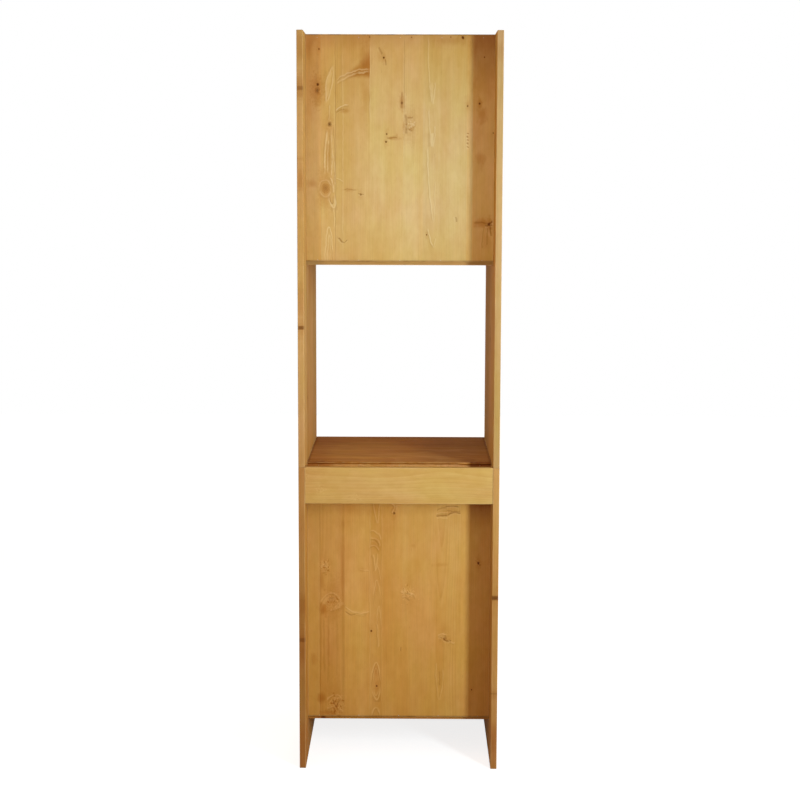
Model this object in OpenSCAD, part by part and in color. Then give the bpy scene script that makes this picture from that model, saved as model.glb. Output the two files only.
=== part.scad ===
// Tall pine housing for a built-in oven: an upper cupboard stands on a lower one, and the oven
// stands in the open niche between them. The rear faces -Y and the doors face +Y.
// Left and right are as seen from the rear. The origin is on the floor, centred under the whole.

/* [Carcass] */
// Width over both sides
unit_w = 600; // [500:10:800]
// Depth of the sides, rear edge to front edge
side_d = 600; // [560:10:700]
// Thickness of the sides and of the boards between them
board_t = 19; // [17:1:25]
// Height of the lower sides
lower_h = 930; // [880:1:960]
// Height of the upper sides
upper_h = 1282; // [1240:1:1400]
// Underside of the lower bottom board above the floor
leg_h = 114; // [80:1:140]
// Top face of the top board below the ends of the upper sides
top_drop = 3; // [0:1:20]
// Rounding along the long arrises of the boards
arris_r = 2; // [1:0.5:4]
// Chamfer around the sawn ends of the sides
end_chamfer = 1; // [0.5:0.5:2]
// Front plinth behind the front edges of the sides
plinth_inset = 40; // [20:5:60]
// Gap between the plinth and the floor
plinth_gap = 2; // [1:1:5]

/* [Niche] */
// Clear height of the oven niche
niche_h = 600; // [590:1:640]
// Oven shelf below the ends of the lower sides
shelf_drop = 3; // [1:1:30]

/* [Back] */
// Depth of the service void behind the back panels
back_recess = 110; // [60:1:180]
// Thickness of the back panels
back_t = 12; // [9:1:15]
// Bare edge of the lower bottom board below its back panel
lower_reveal = 12; // [4:1:13]
// Bare edge of the upper bottom board below its back panel
upper_reveal = 12; // [4:1:13]
// Height of the rear rail
rail_h = 110; // [80:1:160]
// Rear rail behind the rear edges of the sides
rail_inset = 1; // [0:0.5:20]

/* [Doors] */
// Thickness of the door frames
door_t = 20; // [18:1:24]
// Gap all round a closed door
door_gap = 2; // [1.5:0.5:3]
// Width of the stiles and top rails
stile_w = 70; // [60:1:90]
// Height of the bottom rails
bottom_rail_h = 90; // [70:1:120]
// Width of the groove for the door panel
groove_w = 6; // [5:0.5:7]
// Depth of the groove for the door panel
groove_d = 10; // [8:1:12]
// Length of the tenons past the shoulders
tenon_l = 40; // [25:1:48]
// Haunch left at the outer end of each tenon
haunch_h = 15; // [10:1:20]
// Bevel on the inner front arrises of the frame
frame_bevel = 4; // [2:0.5:5]
// Width of the sloping border of a raised panel
fielding_w = 36; // [20:1:50]
// Height of the raised field above the border's low edge
field_rise = 3; // [2:0.5:4]
// Step between the slope and the raised field
field_step = 1; // [0.5:0.5:1.5]

/* [Hinges] */
// Length of a butt hinge
hinge_l = 64; // [50:1:76]
// Width of a leaf from the door's face back
leaf_w = 18; // [15:1:18]
// Thickness of a leaf
leaf_t = 1.8; // [1.5:0.1:2]
// Radius of the knuckles
knuckle_r = 3.5; // [3:0.1:4]
// Radius of the hinge pin
pin_r = 1.5; // [1.2:0.1:1.8]
// Distance from a hinge to the door's end
hinge_end = 90; // [60:5:140]

/* [Fittings] */
// Radius of a door knob
knob_r = 17; // [14:1:20]
// Reach of a door knob in front of the door
knob_out = 28; // [24:1:34]
// Height of a knob from the nearest end of its door
knob_end = 110; // [60:5:200]
// Width of a catch case
catch_w = 46; // [40:1:52]
// Height of a catch case
catch_h = 14; // [12:1:16]
// Depth of a catch case
catch_d = 15; // [12:1:18]
// Pitch of the shelf support holes
hole_pitch = 32; // [25:1:40]
// Number of support holes in a row
hole_count = 5; // [3:2:7]
// Radius of a shelf support's peg
peg_r = 2.5; // [2:0.5:3]
// Thickness of an adjustable shelf
shelf_t = 18; // [15:1:22]

/* [Joinery] */
// Radius of the dowels
dowel_r = 4; // [3:0.5:4]
// Depth of the dowels in a side
dowel_in_side = 12; // [10:1:13]
// Depth of the dowels in a board's end, and in each end at the joint of the sides
dowel_in_end = 18; // [15:1:25]
// Radius of the back panel pins
nail_r = 0.8; // [0.6:0.1:1]
// Length of the back panel pins
nail_l = 25; // [22:1:30]

/* [Hidden] */
$fn = 48;
// Clearance of dowels and tenons in their holes, on each side
glue_gap = 0.05;
// Clearance of the hinge pin in the moving knuckles
pin_gap = 0.05;
// Gap between two hinge leaves, and between neighbouring knuckles
leaf_gap = 0.4;
// Clearance of knuckles to the wood, of a catch to its strike plate, and like gaps
run_gap = 0.3;
// Play of a door panel at the bottom of its groove
panel_play = 1.5;
// Amount by which a cutting shape runs past the solid that it cuts
past = 1;

x_in = unit_w / 2 - board_t;
clear_w = 2 * x_in;
full_h = lower_h + upper_h;
y_rear = -(side_d + knob_out) / 2;
y_front = y_rear + side_d;
y_void = y_rear + back_recess;
y_board = y_void + back_t;
board_d = y_front - y_board;
z_shelf = lower_h - shelf_drop;
z_niche_top = z_shelf + niche_h;
z_top = full_h - top_drop;
// Clear space of each cupboard: its floor and its ceiling
lower_room = [leg_h + board_t, z_shelf - board_t];
upper_room = [z_niche_top + board_t, z_top - board_t];
rail_y = y_rear + rail_inset;
plinth_y = y_front - plinth_inset - board_t;

// Doors: the hinge side is at +X
door_x0 = -x_in + door_gap;
door_w = clear_w - 2 * door_gap;
door_y = y_front - door_t;
hinge_x = x_in - door_gap / 2;
axis_out = knuckle_r + run_gap;
hinge_y = y_front + axis_out;
tenon_w = groove_w - 2 * glue_gap;
groove_y = (door_t - groove_w) / 2;
lock_x = door_x0 + stile_w / 2;
lower_knob_z = lower_room[1] - door_gap - knob_end;
upper_knob_z = upper_room[0] + door_gap + knob_end;

// Shelf supports: a row near the rear and one near the doors
row_inset = 60;
peg_rows = [y_board + row_inset, door_y - row_inset];
peg_depth = 10;
tab_l = 9;
tab_t = 2.5;
shelf_end_gap = 1;
shelf_front_gap = 11;
shelf_d = door_y - y_board - shelf_end_gap - shelf_front_gap;

// Dowels along the depth of the boards, and along the joint between the sides
dowel_inset = 45;
dowel_rows = [y_board + dowel_inset, (y_board + y_front) / 2, y_front - dowel_inset];
stack_inset = 85;
stack_rows = [y_rear + stack_inset, (y_rear + y_front) / 2, y_front - stack_inset];
rail_dowel_inset = 22;

// Back panels: their lower edges, and their pins in the boards' rear edges
lower_panel_z = leg_h + lower_reveal;
upper_panel_z = z_niche_top + upper_reveal;
nail_count = 5;
nail_inset = 35;
lower_nail_rows = [(lower_panel_z + leg_h + board_t) / 2, z_shelf - board_t / 2];
upper_nail_rows = [(upper_panel_z + z_niche_top + board_t) / 2, z_top - board_t / 2];

// Screws of the hinges and of the catches
screw_r = 1.5;
screw_head_r = 3;
screw_head_h = 2;
hinge_screw_l = 14;
catch_screw_l = 14;

// Butt hinge: five knuckles, the outer and middle ones on the fixed leaf
knuckles = 5;
knuckle_l = (hinge_l - (knuckles - 1) * leaf_gap) / knuckles;
function knuckle_z(i) = i * (knuckle_l + leaf_gap);
// Screw places on a leaf: height along the hinge, and distance behind the front face
leaf_screw_end = 10.5;
leaf_screw_far = 11.2;
leaf_screw_near = 7.2;
leaf_screws = [
    [leaf_screw_end, leaf_screw_far], [hinge_l / 2, leaf_screw_near],
    [hinge_l - leaf_screw_end, leaf_screw_far]
];
// Turned tips of the hinge pin: ball radius, and height of its centre above the knuckle
tip_r = 2.6;
tip_seat = 1.6;

// Turned knob: foot, waist, cove between foot and head, rim of the head, dome in front
knob_foot_r = 10.5;
knob_foot_h = 4;
knob_foot_step = 1;
knob_waist_r = 7;
knob_cove_r = 5;
knob_rim_r = 5;
knob_head_l = 9;
knob_dome_r = 41;
knob_screw_r = 2;
knob_screw_in = 12;
knob_screw_play = 0.25;
screw_pan_r = 4.2;
screw_pan_h = 2.2;
screw_pan_face_r = 3;

// Magnetic catch under a cupboard's ceiling, against a strike plate on the lock stile
strike_t = 1;
strike_r = 6;
spike_l = 8;
catch_face = door_y - strike_t - run_gap;
magnet_w = 22;
magnet_h = 7;
magnet_d = 9;
magnet_foot = 2;
magnet_out = 0.5;
catch_screw_inset = 6;
catch_screw_y = catch_face - catch_d / 2;

// Rectangle [w, h] from the origin with rounded corners, as true arcs
module eased_rect(w, h, r) {
    translate([r, 0]) square([w - 2 * r, h]);
    translate([0, r]) square([w, h - 2 * r]);
    for (x = [r, w - r], y = [r, h - r]) translate([x, y]) circle(r);
}

// Board along X: from the left inner face to the right one, d deep and t thick
module cross_board(y, z, d, t, r = arris_r) {
    translate([-x_in, y, z]) rotate([90, 0, 90]) linear_extrude(clear_w) eased_rect(d, t, r);
}

// Outline with its four corners cut at 45 degrees, wider than the board by past at each side
module chamfered_outline(w, h, c) {
    e = c + past;
    polygon([
        [c, 0], [w - c, 0], [w + past, e], [w + past, h - e],
        [w - c, h], [c, h], [-past, h - e], [-past, e]
    ]);
}

// Side of a cupboard from z upwards: rounded long arrises, chamfered ends
module side_blank(x, z, h) {
    translate([x, y_rear, z]) intersection() {
        translate([0, 0, -past]) linear_extrude(h + 2 * past) eased_rect(board_t, side_d, arris_r);
        translate([0, side_d + past, 0]) rotate([90, 0, 0]) linear_extrude(side_d + 2 * past)
            chamfered_outline(board_t, h, end_chamfer);
        translate([-past, 0, 0]) rotate([90, 0, 90]) linear_extrude(board_t + 2 * past)
            chamfered_outline(side_d, h, end_chamfer);
    }
}

// Rod or hole along X across the inner face of the side at s = -1 or 1
module across_face(s, y, z, r, into_side, into_room) {
    x0 = s > 0 ? x_in - into_room : -x_in - into_side;
    translate([x0, y, z]) rotate([0, 90, 0]) cylinder(r = r, h = into_side + into_room);
}

function board_mid(z) = z + board_t / 2;
function room_mid(room) = (room[0] + room[1]) / 2;
function hole_z(room, i) = room_mid(room) + (i - (hole_count - 1) / 2) * hole_pitch;

// Dowels of one board between the sides, on one side
module board_dowels(s, z, grow) {
    for (y = dowel_rows) across_face(s, y, board_mid(z), dowel_r + grow,
        dowel_in_side - glue_gap + grow, dowel_in_end - glue_gap + grow);
}

// Dowels of an upright rail or plinth, on one side
module rail_dowels(s, y, z, h, grow) {
    for (dz = [rail_dowel_inset, h - rail_dowel_inset]) {
        across_face(s, y + board_t / 2, z + dz, dowel_r + grow,
            dowel_in_side - glue_gap + grow, dowel_in_end - glue_gap + grow);
    }
}

module stack_dowels(s, grow) {
    l = dowel_in_end - glue_gap + grow;
    for (y = stack_rows) translate([s * (x_in + board_t / 2), y, lower_h - l])
        cylinder(r = dowel_r + grow, h = 2 * l);
}

module lower_dowels(s, grow) {
    board_dowels(s, leg_h, grow);
    board_dowels(s, z_shelf - board_t, grow);
    rail_dowels(s, rail_y, lower_h - rail_h, rail_h, grow);
    rail_dowels(s, plinth_y, plinth_gap, leg_h - plinth_gap, grow);
}

module upper_dowels(s, grow) {
    board_dowels(s, z_niche_top, grow);
    board_dowels(s, z_top - board_t, grow);
}

// Bored rows for the shelf supports
module peg_holes(s, room) {
    for (y = peg_rows, i = [0 : hole_count - 1])
        across_face(s, y, hole_z(room, i), peg_r, peg_depth, past);
}

function door_z(room) = room[0] + door_gap;
function door_h(room) = room[1] - room[0] - 2 * door_gap;
function hinge_z(room, top) = top ? room[1] - door_gap - hinge_end - hinge_l : door_z(room) + hinge_end;

// Recess for a hinge leaf with its screw holes; s = 1 in the side, -1 in the door
module leaf_recess(s, room, top) {
    depth = leaf_gap / 2 + leaf_t;
    translate([hinge_x, hinge_y, hinge_z(room, top)]) {
        translate([s > 0 ? 0 : -depth, -axis_out - leaf_w, 0])
            cube([depth, leaf_w + axis_out + past, hinge_l]);
        for (p = leaf_screws) translate([0, -axis_out - p[1], p[0]]) rotate([0, s * 90, 0])
            cylinder(r = screw_r + glue_gap, h = leaf_gap / 2 + hinge_screw_l + glue_gap);
    }
}

module lower_side(s) {
    color("burlywood") difference() {
        side_blank(s > 0 ? x_in : -x_in - board_t, 0, lower_h);
        lower_dowels(s, glue_gap);
        stack_dowels(s, glue_gap);
        peg_holes(s, lower_room);
        if (s > 0) for (top = [false, true]) leaf_recess(1, lower_room, top);
    }
}

module upper_side(s) {
    color("burlywood") difference() {
        side_blank(s > 0 ? x_in : -x_in - board_t, lower_h, upper_h);
        upper_dowels(s, glue_gap);
        stack_dowels(s, glue_gap);
        peg_holes(s, upper_room);
        if (s > 0) for (top = [false, true]) leaf_recess(1, upper_room, top);
    }
}

// Pins through a back panel into a board's rear edge at height z
module nail_row(z, grow) {
    reach = x_in - nail_inset;
    for (i = [0 : nail_count - 1]) {
        translate([-reach + 2 * reach * i / (nail_count - 1), y_void + nail_l, z]) rotate([90, 0, 0])
            cylinder(r = nail_r + grow, h = nail_l + (grow > 0 ? past : 0));
    }
}

module lower_bottom_board() {
    color("tan") difference() {
        cross_board(y_board, leg_h, board_d, board_t);
        for (s = [-1, 1]) board_dowels(s, leg_h, glue_gap);
        nail_row(lower_nail_rows[0], glue_gap);
    }
}

module oven_shelf() {
    color("peru") difference() {
        cross_board(y_board, z_shelf - board_t, board_d, board_t);
        for (s = [-1, 1]) board_dowels(s, z_shelf - board_t, glue_gap);
        nail_row(lower_nail_rows[1], glue_gap);
        catch_screw_holes(lower_room);
    }
}

module upper_bottom_board() {
    color("tan") difference() {
        cross_board(y_board, z_niche_top, board_d, board_t);
        for (s = [-1, 1]) board_dowels(s, z_niche_top, glue_gap);
        nail_row(upper_nail_rows[0], glue_gap);
    }
}

module upper_top_board() {
    color("tan") difference() {
        cross_board(y_board, z_top - board_t, board_d, board_t);
        for (s = [-1, 1]) board_dowels(s, z_top - board_t, glue_gap);
        nail_row(upper_nail_rows[1], glue_gap);
        catch_screw_holes(upper_room);
    }
}

module rear_rail() {
    color("wheat") difference() {
        cross_board(rail_y, lower_h - rail_h, board_t, rail_h);
        for (s = [-1, 1]) rail_dowels(s, rail_y, lower_h - rail_h, rail_h, glue_gap);
    }
}

module front_plinth() {
    color("tan") difference() {
        cross_board(plinth_y, plinth_gap, board_t, leg_h - plinth_gap, end_chamfer);
        for (s = [-1, 1]) rail_dowels(s, plinth_y, plinth_gap, leg_h - plinth_gap, glue_gap);
    }
}

// Upright panel between the sides, against the rear edges of two boards
module back_panel(z0, z1, rows) {
    color("goldenrod") difference() {
        translate([-x_in, y_void, z0]) linear_extrude(z1 - z0)
            eased_rect(clear_w, back_t, end_chamfer);
        for (z = rows) nail_row(z, glue_gap);
    }
}

module back_pins(rows) {
    color("silver") for (z = rows) nail_row(z, 0);
}

// Adjustable shelf on its supports in the middle holes
module loose_shelf(room) {
    z = hole_z(room, (hole_count - 1) / 2) + peg_r;
    l = clear_w - 2 * shelf_end_gap;
    color("burlywood") translate([-l / 2, y_board + shelf_end_gap, z])
        rotate([90, 0, 90]) linear_extrude(l) eased_rect(shelf_d, shelf_t, arris_r);
}

// Supports: a peg in the side and a flat tab under the shelf
module shelf_supports(room) {
    z = hole_z(room, (hole_count - 1) / 2);
    color("silver") for (s = [-1, 1], y = peg_rows) {
        across_face(s, y, z, peg_r - glue_gap, peg_depth - glue_gap, tab_t);
        translate([s > 0 ? x_in - tab_l : -x_in, y - tab_l / 2, z + peg_r - tab_t])
            cube([tab_l, tab_l, tab_t]);
    }
}

// Door pieces, drawn with the door's back face at y = 0, its left edge at x = 0 and its foot at z = 0
module at_door(room) {
    translate([door_x0, door_y, door_z(room)]) children();
}

// Section of a stile or rail: outer edge at x = 0, groove and bevel on the inner edge
module frame_section(w) {
    polygon([
        [0, 0], [w, 0], [w, groove_y], [w - groove_d, groove_y],
        [w - groove_d, groove_y + groove_w], [w, groove_y + groove_w],
        [w, door_t - frame_bevel], [w - frame_bevel, door_t], [0, door_t]
    ]);
}

// The space that a stile takes from a rail's end
module stile_space(h) {
    translate([0, 0, -past]) linear_extrude(h + 2 * past) polygon([
        [-past, -past], [stile_w, -past], [stile_w, door_t - frame_bevel],
        [stile_w - frame_bevel - past, door_t + past], [-past, door_t + past]
    ]);
}

// Tenon on the left end of a rail of width w whose inner edge is up; grown, it is the mortise
module tenon(w, grow) {
    y0 = groove_y + glue_gap - grow;
    reach = tenon_l - glue_gap + grow;
    translate([stile_w - reach, y0, haunch_h - grow])
        cube([reach + past, tenon_w + 2 * grow, w - haunch_h - groove_d + 2 * grow]);
    translate([stile_w - groove_d + glue_gap, y0, 0])
        cube([groove_d + past, tenon_w + 2 * grow, w - groove_d]);
}

// Rail along X with its inner edge up: coped onto both stiles, with a tenon at each end
module rail(w) {
    difference() {
        translate([stile_w - frame_bevel - past, 0, 0]) mirror([1, 0, -1])
            linear_extrude(door_w - 2 * (stile_w - frame_bevel - past)) frame_section(w);
        stile_space(w);
        translate([door_w, 0, 0]) mirror([1, 0, 0]) stile_space(w);
    }
    tenon(w, 0);
    translate([door_w, 0, 0]) mirror([1, 0, 0]) tenon(w, 0);
}

// Stile along Z with a mortise at each end
module stile(h) {
    difference() {
        linear_extrude(h) frame_section(stile_w);
        tenon(bottom_rail_h, glue_gap);
        translate([0, 0, h]) mirror([0, 0, 1]) tenon(stile_w, glue_gap);
    }
}

module hinge_stile(room) {
    color("burlywood") difference() {
        at_door(room) translate([door_w, 0, 0]) mirror([1, 0, 0]) stile(door_h(room));
        for (top = [false, true]) leaf_recess(-1, room, top);
    }
}

module lock_stile(room, knob_z) {
    color("burlywood") difference() {
        at_door(room) stile(door_h(room));
        translate([lock_x, door_y - past, knob_z]) rotate([-90, 0, 0])
            cylinder(r = knob_screw_r + knob_screw_play, h = door_t + 2 * past);
        strike_hole(room);
    }
}

module top_rail(room) {
    color("wheat") at_door(room) translate([0, 0, door_h(room)]) mirror([0, 0, 1]) rail(stile_w);
}

module bottom_rail(room) {
    color("wheat") at_door(room) rail(bottom_rail_h);
}

// Section across a raised panel of width w: thin border in the groove, slope, raised field
module panel_section(w, y_back) {
    y0 = groove_y + glue_gap;
    y1 = groove_y + groove_w - glue_gap;
    edge = groove_d - panel_play;
    slope_end = edge + fielding_w;
    y_slope = y1 + field_rise - field_step;
    y_field = y1 + field_rise;
    polygon([
        [0, y0 - y_back], [w, y0 - y_back], [w, y1], [w - edge, y1], [w - slope_end, y_slope],
        [w - slope_end, y_field], [slope_end, y_field], [slope_end, y_slope], [edge, y1], [0, y1]
    ]);
}

module door_panel(room) {
    inset = stile_w - groove_d + panel_play;
    low = bottom_rail_h - groove_d + panel_play;
    w = door_w - 2 * inset;
    h = door_h(room) - low - inset;
    color("goldenrod") at_door(room) translate([inset, 0, low]) intersection() {
        linear_extrude(h) panel_section(w, 0);
        translate([-past, 0, 0]) mirror([1, 0, -1])
            linear_extrude(w + 2 * past) panel_section(h, past);
    }
}

// Turned knob on its foot, bored for the screw
module knob(z) {
    head_y = knob_out - knob_head_l;
    color("peru") translate([lock_x, y_front, z]) rotate([-90, 0, 0]) difference() {
        rotate_extrude() intersection() {
            union() {
                square([knob_foot_r, knob_foot_h]);
                difference() {
                    square([knob_foot_r, head_y]);
                    translate([knob_waist_r + knob_cove_r, knob_foot_h + knob_foot_step + knob_cove_r])
                        circle(knob_cove_r);
                }
                translate([knob_r - knob_rim_r, head_y]) circle(knob_rim_r);
                translate([0, head_y - knob_rim_r]) square([knob_r - knob_rim_r, knob_head_l + knob_rim_r]);
            }
            translate([0, knob_out - knob_dome_r]) circle(knob_dome_r, $fn = 160);
            square([knob_r, knob_out]);
        }
        translate([0, 0, -past]) cylinder(r = knob_screw_r, h = knob_screw_in + past);
    }
}

// Screw from inside the door into the knob, with a low round head
module knob_screw(z) {
    color("silver") translate([lock_x, door_y, z]) rotate([-90, 0, 0]) {
        cylinder(r = knob_screw_r - glue_gap, h = door_t + knob_screw_in - past);
        translate([0, 0, -screw_pan_h]) cylinder(r1 = screw_pan_face_r, r2 = screw_pan_r, h = screw_pan_h);
    }
}

// Countersunk hole, or the countersunk screw that fills it
module leaf_screw_hole(r, head_r, l) {
    cylinder(r = r, h = l);
    cylinder(r1 = head_r, r2 = r, h = head_r - r);
}

// Leaf in the frame of its own axis; s = 1 for the side's leaf, -1 for the door's
module leaf(s) {
    own = s > 0 ? 0 : 1;
    difference() {
        union() {
            translate([s > 0 ? leaf_gap / 2 : -leaf_gap / 2 - leaf_t, -axis_out - leaf_w, 0])
                cube([leaf_t, leaf_w + axis_out, hinge_l]);
            for (i = [own : 2 : knuckles - 1]) translate([0, 0, knuckle_z(i)])
                cylinder(r = knuckle_r, h = knuckle_l);
        }
        for (i = [1 - own : 2 : knuckles - 1]) translate([0, 0, knuckle_z(i) - leaf_gap])
            cylinder(r = knuckle_r + leaf_gap, h = knuckle_l + 2 * leaf_gap);
        translate([0, 0, -past]) cylinder(r = pin_r + (s > 0 ? 0 : pin_gap), h = hinge_l + 2 * past);
        for (p = leaf_screws) translate([s * leaf_gap / 2, -axis_out - p[1], p[0]])
            rotate([0, s * 90, 0]) leaf_screw_hole(screw_r + glue_gap, screw_head_r, leaf_t + past);
    }
}

module at_hinge(room, top) {
    translate([hinge_x, hinge_y, hinge_z(room, top)]) children();
}

module fixed_leaf(room, top) {
    color("gold") at_hinge(room, top) leaf(1);
}

module moving_leaf(room, top) {
    color("gold") at_hinge(room, top) leaf(-1);
}

module pin_tip() {
    intersection() {
        translate([0, 0, tip_seat]) sphere(tip_r);
        translate([-tip_r, -tip_r, 0]) cube(2 * tip_r);
    }
}

// Pin with a turned tip at each end
module hinge_pin(room, top) {
    color("gold") at_hinge(room, top) {
        cylinder(r = pin_r, h = hinge_l);
        translate([0, 0, hinge_l]) pin_tip();
        mirror([0, 0, 1]) pin_tip();
    }
}

// Countersunk screws of both hinges of a door, in the side (s = 1) or in the door (s = -1)
module hinge_screws(s, room) {
    color("gold") for (top = [false, true], p = leaf_screws) at_hinge(room, top)
        translate([s * (leaf_gap / 2 + glue_gap), -axis_out - p[1], p[0]]) rotate([0, s * 90, 0])
            leaf_screw_hole(screw_r, screw_head_r - 2 * glue_gap, hinge_screw_l - glue_gap);
}

module at_catch_screws(z) {
    for (s = [-1, 1])
        translate([lock_x + s * (catch_w / 2 - catch_screw_inset), catch_screw_y, z]) children();
}

module catch_screw_holes(room) {
    at_catch_screws(room[1] - past)
        cylinder(r = screw_r + glue_gap, h = catch_screw_l - catch_h / 2 + past);
}

function magnet_z(room) = room[1] - catch_h + magnet_foot;

module magnet_space(room, grow) {
    translate([lock_x - magnet_w / 2 - grow, catch_face - magnet_d - grow, magnet_z(room) - grow])
        cube([magnet_w + 2 * grow, magnet_d + 2 * grow, magnet_h + 2 * grow]);
}

// Moulded case, open in front for the magnet and bored for two screws
module catch_case(room) {
    foot = room[1] - catch_h;
    color("dimgray") difference() {
        translate([lock_x - catch_w / 2, catch_face - catch_d - magnet_out, foot])
            linear_extrude(catch_h) eased_rect(catch_w, catch_d, arris_r);
        magnet_space(room, glue_gap);
        at_catch_screws(foot - past) {
            cylinder(r = screw_head_r + glue_gap, h = catch_h / 2 + past);
            cylinder(r = screw_r + glue_gap, h = catch_h + 2 * past);
        }
    }
}

module catch_magnet(room) {
    color("silver") magnet_space(room, 0);
}

module catch_screws(room) {
    color("silver") at_catch_screws(room[1] - catch_h / 2) {
        translate([0, 0, -screw_head_h]) cylinder(r = screw_head_r, h = screw_head_h);
        cylinder(r = screw_r, h = catch_screw_l - glue_gap);
    }
}

module at_strike(room) {
    translate([lock_x, door_y, magnet_z(room) + magnet_h / 2]) rotate([-90, 0, 0]) children();
}

module strike_hole(room) {
    at_strike(room) translate([0, 0, -past]) cylinder(r = screw_r, h = spike_l + past);
}

// Round plate with a barbed stem pressed into the stile
module strike_plate(room) {
    color("silver") at_strike(room) {
        translate([0, 0, -strike_t]) cylinder(r = strike_r, h = strike_t);
        cylinder(r = screw_r - glue_gap, h = spike_l - glue_gap);
    }
}

lower_side(-1);  // lower_side_left
lower_side(1);  // lower_side_right
upper_side(-1);  // upper_side_left
upper_side(1);  // upper_side_right
lower_bottom_board();
oven_shelf();
rear_rail();
back_panel(lower_panel_z, z_shelf, lower_nail_rows);  // lower_back_panel
front_plinth();
upper_bottom_board();
upper_top_board();
back_panel(upper_panel_z, z_top, upper_nail_rows);  // upper_back_panel
loose_shelf(lower_room);  // lower_shelf
loose_shelf(upper_room);  // upper_shelf
shelf_supports(lower_room);  // lower_shelf_supports
shelf_supports(upper_room);  // upper_shelf_supports
color("tan") for (s = [-1, 1]) lower_dowels(s, 0);  // lower_carcass_dowels
color("tan") for (s = [-1, 1]) upper_dowels(s, 0);  // upper_carcass_dowels
color("tan") for (s = [-1, 1]) stack_dowels(s, 0);  // stacking_dowels
back_pins(lower_nail_rows);  // lower_back_pins
back_pins(upper_nail_rows);  // upper_back_pins
hinge_stile(lower_room);  // lower_door_hinge_stile
lock_stile(lower_room, lower_knob_z);  // lower_door_lock_stile
top_rail(lower_room);  // lower_door_top_rail
bottom_rail(lower_room);  // lower_door_bottom_rail
door_panel(lower_room);  // lower_door_panel
knob(lower_knob_z);  // lower_knob
knob_screw(lower_knob_z);  // lower_knob_screw
hinge_stile(upper_room);  // upper_door_hinge_stile
lock_stile(upper_room, upper_knob_z);  // upper_door_lock_stile
top_rail(upper_room);  // upper_door_top_rail
bottom_rail(upper_room);  // upper_door_bottom_rail
door_panel(upper_room);  // upper_door_panel
knob(upper_knob_z);  // upper_knob
knob_screw(upper_knob_z);  // upper_knob_screw
fixed_leaf(lower_room, false);  // lower_door_fixed_leaf_bottom
fixed_leaf(lower_room, true);  // lower_door_fixed_leaf_top
moving_leaf(lower_room, false);  // lower_door_moving_leaf_bottom
moving_leaf(lower_room, true);  // lower_door_moving_leaf_top
hinge_pin(lower_room, false);  // lower_door_hinge_pin_bottom
hinge_pin(lower_room, true);  // lower_door_hinge_pin_top
fixed_leaf(upper_room, false);  // upper_door_fixed_leaf_bottom
fixed_leaf(upper_room, true);  // upper_door_fixed_leaf_top
moving_leaf(upper_room, false);  // upper_door_moving_leaf_bottom
moving_leaf(upper_room, true);  // upper_door_moving_leaf_top
hinge_pin(upper_room, false);  // upper_door_hinge_pin_bottom
hinge_pin(upper_room, true);  // upper_door_hinge_pin_top
hinge_screws(1, lower_room);  // lower_side_hinge_screws
hinge_screws(-1, lower_room);  // lower_door_hinge_screws
hinge_screws(1, upper_room);  // upper_side_hinge_screws
hinge_screws(-1, upper_room);  // upper_door_hinge_screws
catch_case(lower_room);  // lower_catch_case
catch_magnet(lower_room);  // lower_catch_magnet
catch_screws(lower_room);  // lower_catch_screws
strike_plate(lower_room);  // lower_strike_plate
catch_case(upper_room);  // upper_catch_case
catch_magnet(upper_room);  // upper_catch_magnet
catch_screws(upper_room);  // upper_catch_screws
strike_plate(upper_room);  // upper_strike_plate
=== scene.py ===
"""Looks of a tall pine housing for a built-in oven, seen from its open rear."""
import math
import random

import bmesh
import bpy
from mathutils import Euler, Matrix, Vector


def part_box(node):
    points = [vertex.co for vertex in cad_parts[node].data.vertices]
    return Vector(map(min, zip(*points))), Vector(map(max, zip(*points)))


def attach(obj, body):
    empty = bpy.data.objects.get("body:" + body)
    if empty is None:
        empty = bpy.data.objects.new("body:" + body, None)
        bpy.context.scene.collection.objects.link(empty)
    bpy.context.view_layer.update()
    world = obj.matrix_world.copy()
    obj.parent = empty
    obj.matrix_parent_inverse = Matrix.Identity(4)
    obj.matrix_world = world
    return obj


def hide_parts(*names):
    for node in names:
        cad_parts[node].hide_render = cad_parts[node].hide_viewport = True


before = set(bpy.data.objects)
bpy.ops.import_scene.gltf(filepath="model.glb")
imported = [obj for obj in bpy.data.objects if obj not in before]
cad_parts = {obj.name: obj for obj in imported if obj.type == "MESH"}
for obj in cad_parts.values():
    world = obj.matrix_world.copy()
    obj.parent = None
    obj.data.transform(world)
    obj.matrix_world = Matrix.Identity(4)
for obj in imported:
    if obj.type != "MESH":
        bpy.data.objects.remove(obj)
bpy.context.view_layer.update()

# Lower sides
# Two boards of solid pine, edge-glued from upright staves, planed, waxed and cut square at both
# ends. They stand on the floor, and the upper sides stand on them.


class Value:
    """What a node gives out; each sum, product or comparison with it is one more node."""

    def __init__(self, fig, socket):
        self.fig, self.socket = fig, socket

    def __add__(self, other):
        return self.fig.calc("ADD", self, other)

    def __sub__(self, other):
        return self.fig.calc("SUBTRACT", self, other)

    def __rsub__(self, other):
        return self.fig.calc("SUBTRACT", other, self)

    def __mul__(self, other):
        return self.fig.calc("MULTIPLY", self, other)

    def __truediv__(self, other):
        return self.fig.calc("DIVIDE", self, other)

    def __neg__(self):
        return self.fig.calc("MULTIPLY", self, -1.0)

    def __abs__(self):
        return self.fig.calc("ABSOLUTE", self)

    def __gt__(self, other):
        return self.fig.calc("GREATER_THAN", self, other)

    def __lt__(self, other):
        return self.fig.calc("LESS_THAN", self, other)

    def scaled(self, factor, offset):
        """The value times a factor, plus an offset, in one node."""
        return self.fig.calc("MULTIPLY_ADD", self, factor, offset)


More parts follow.
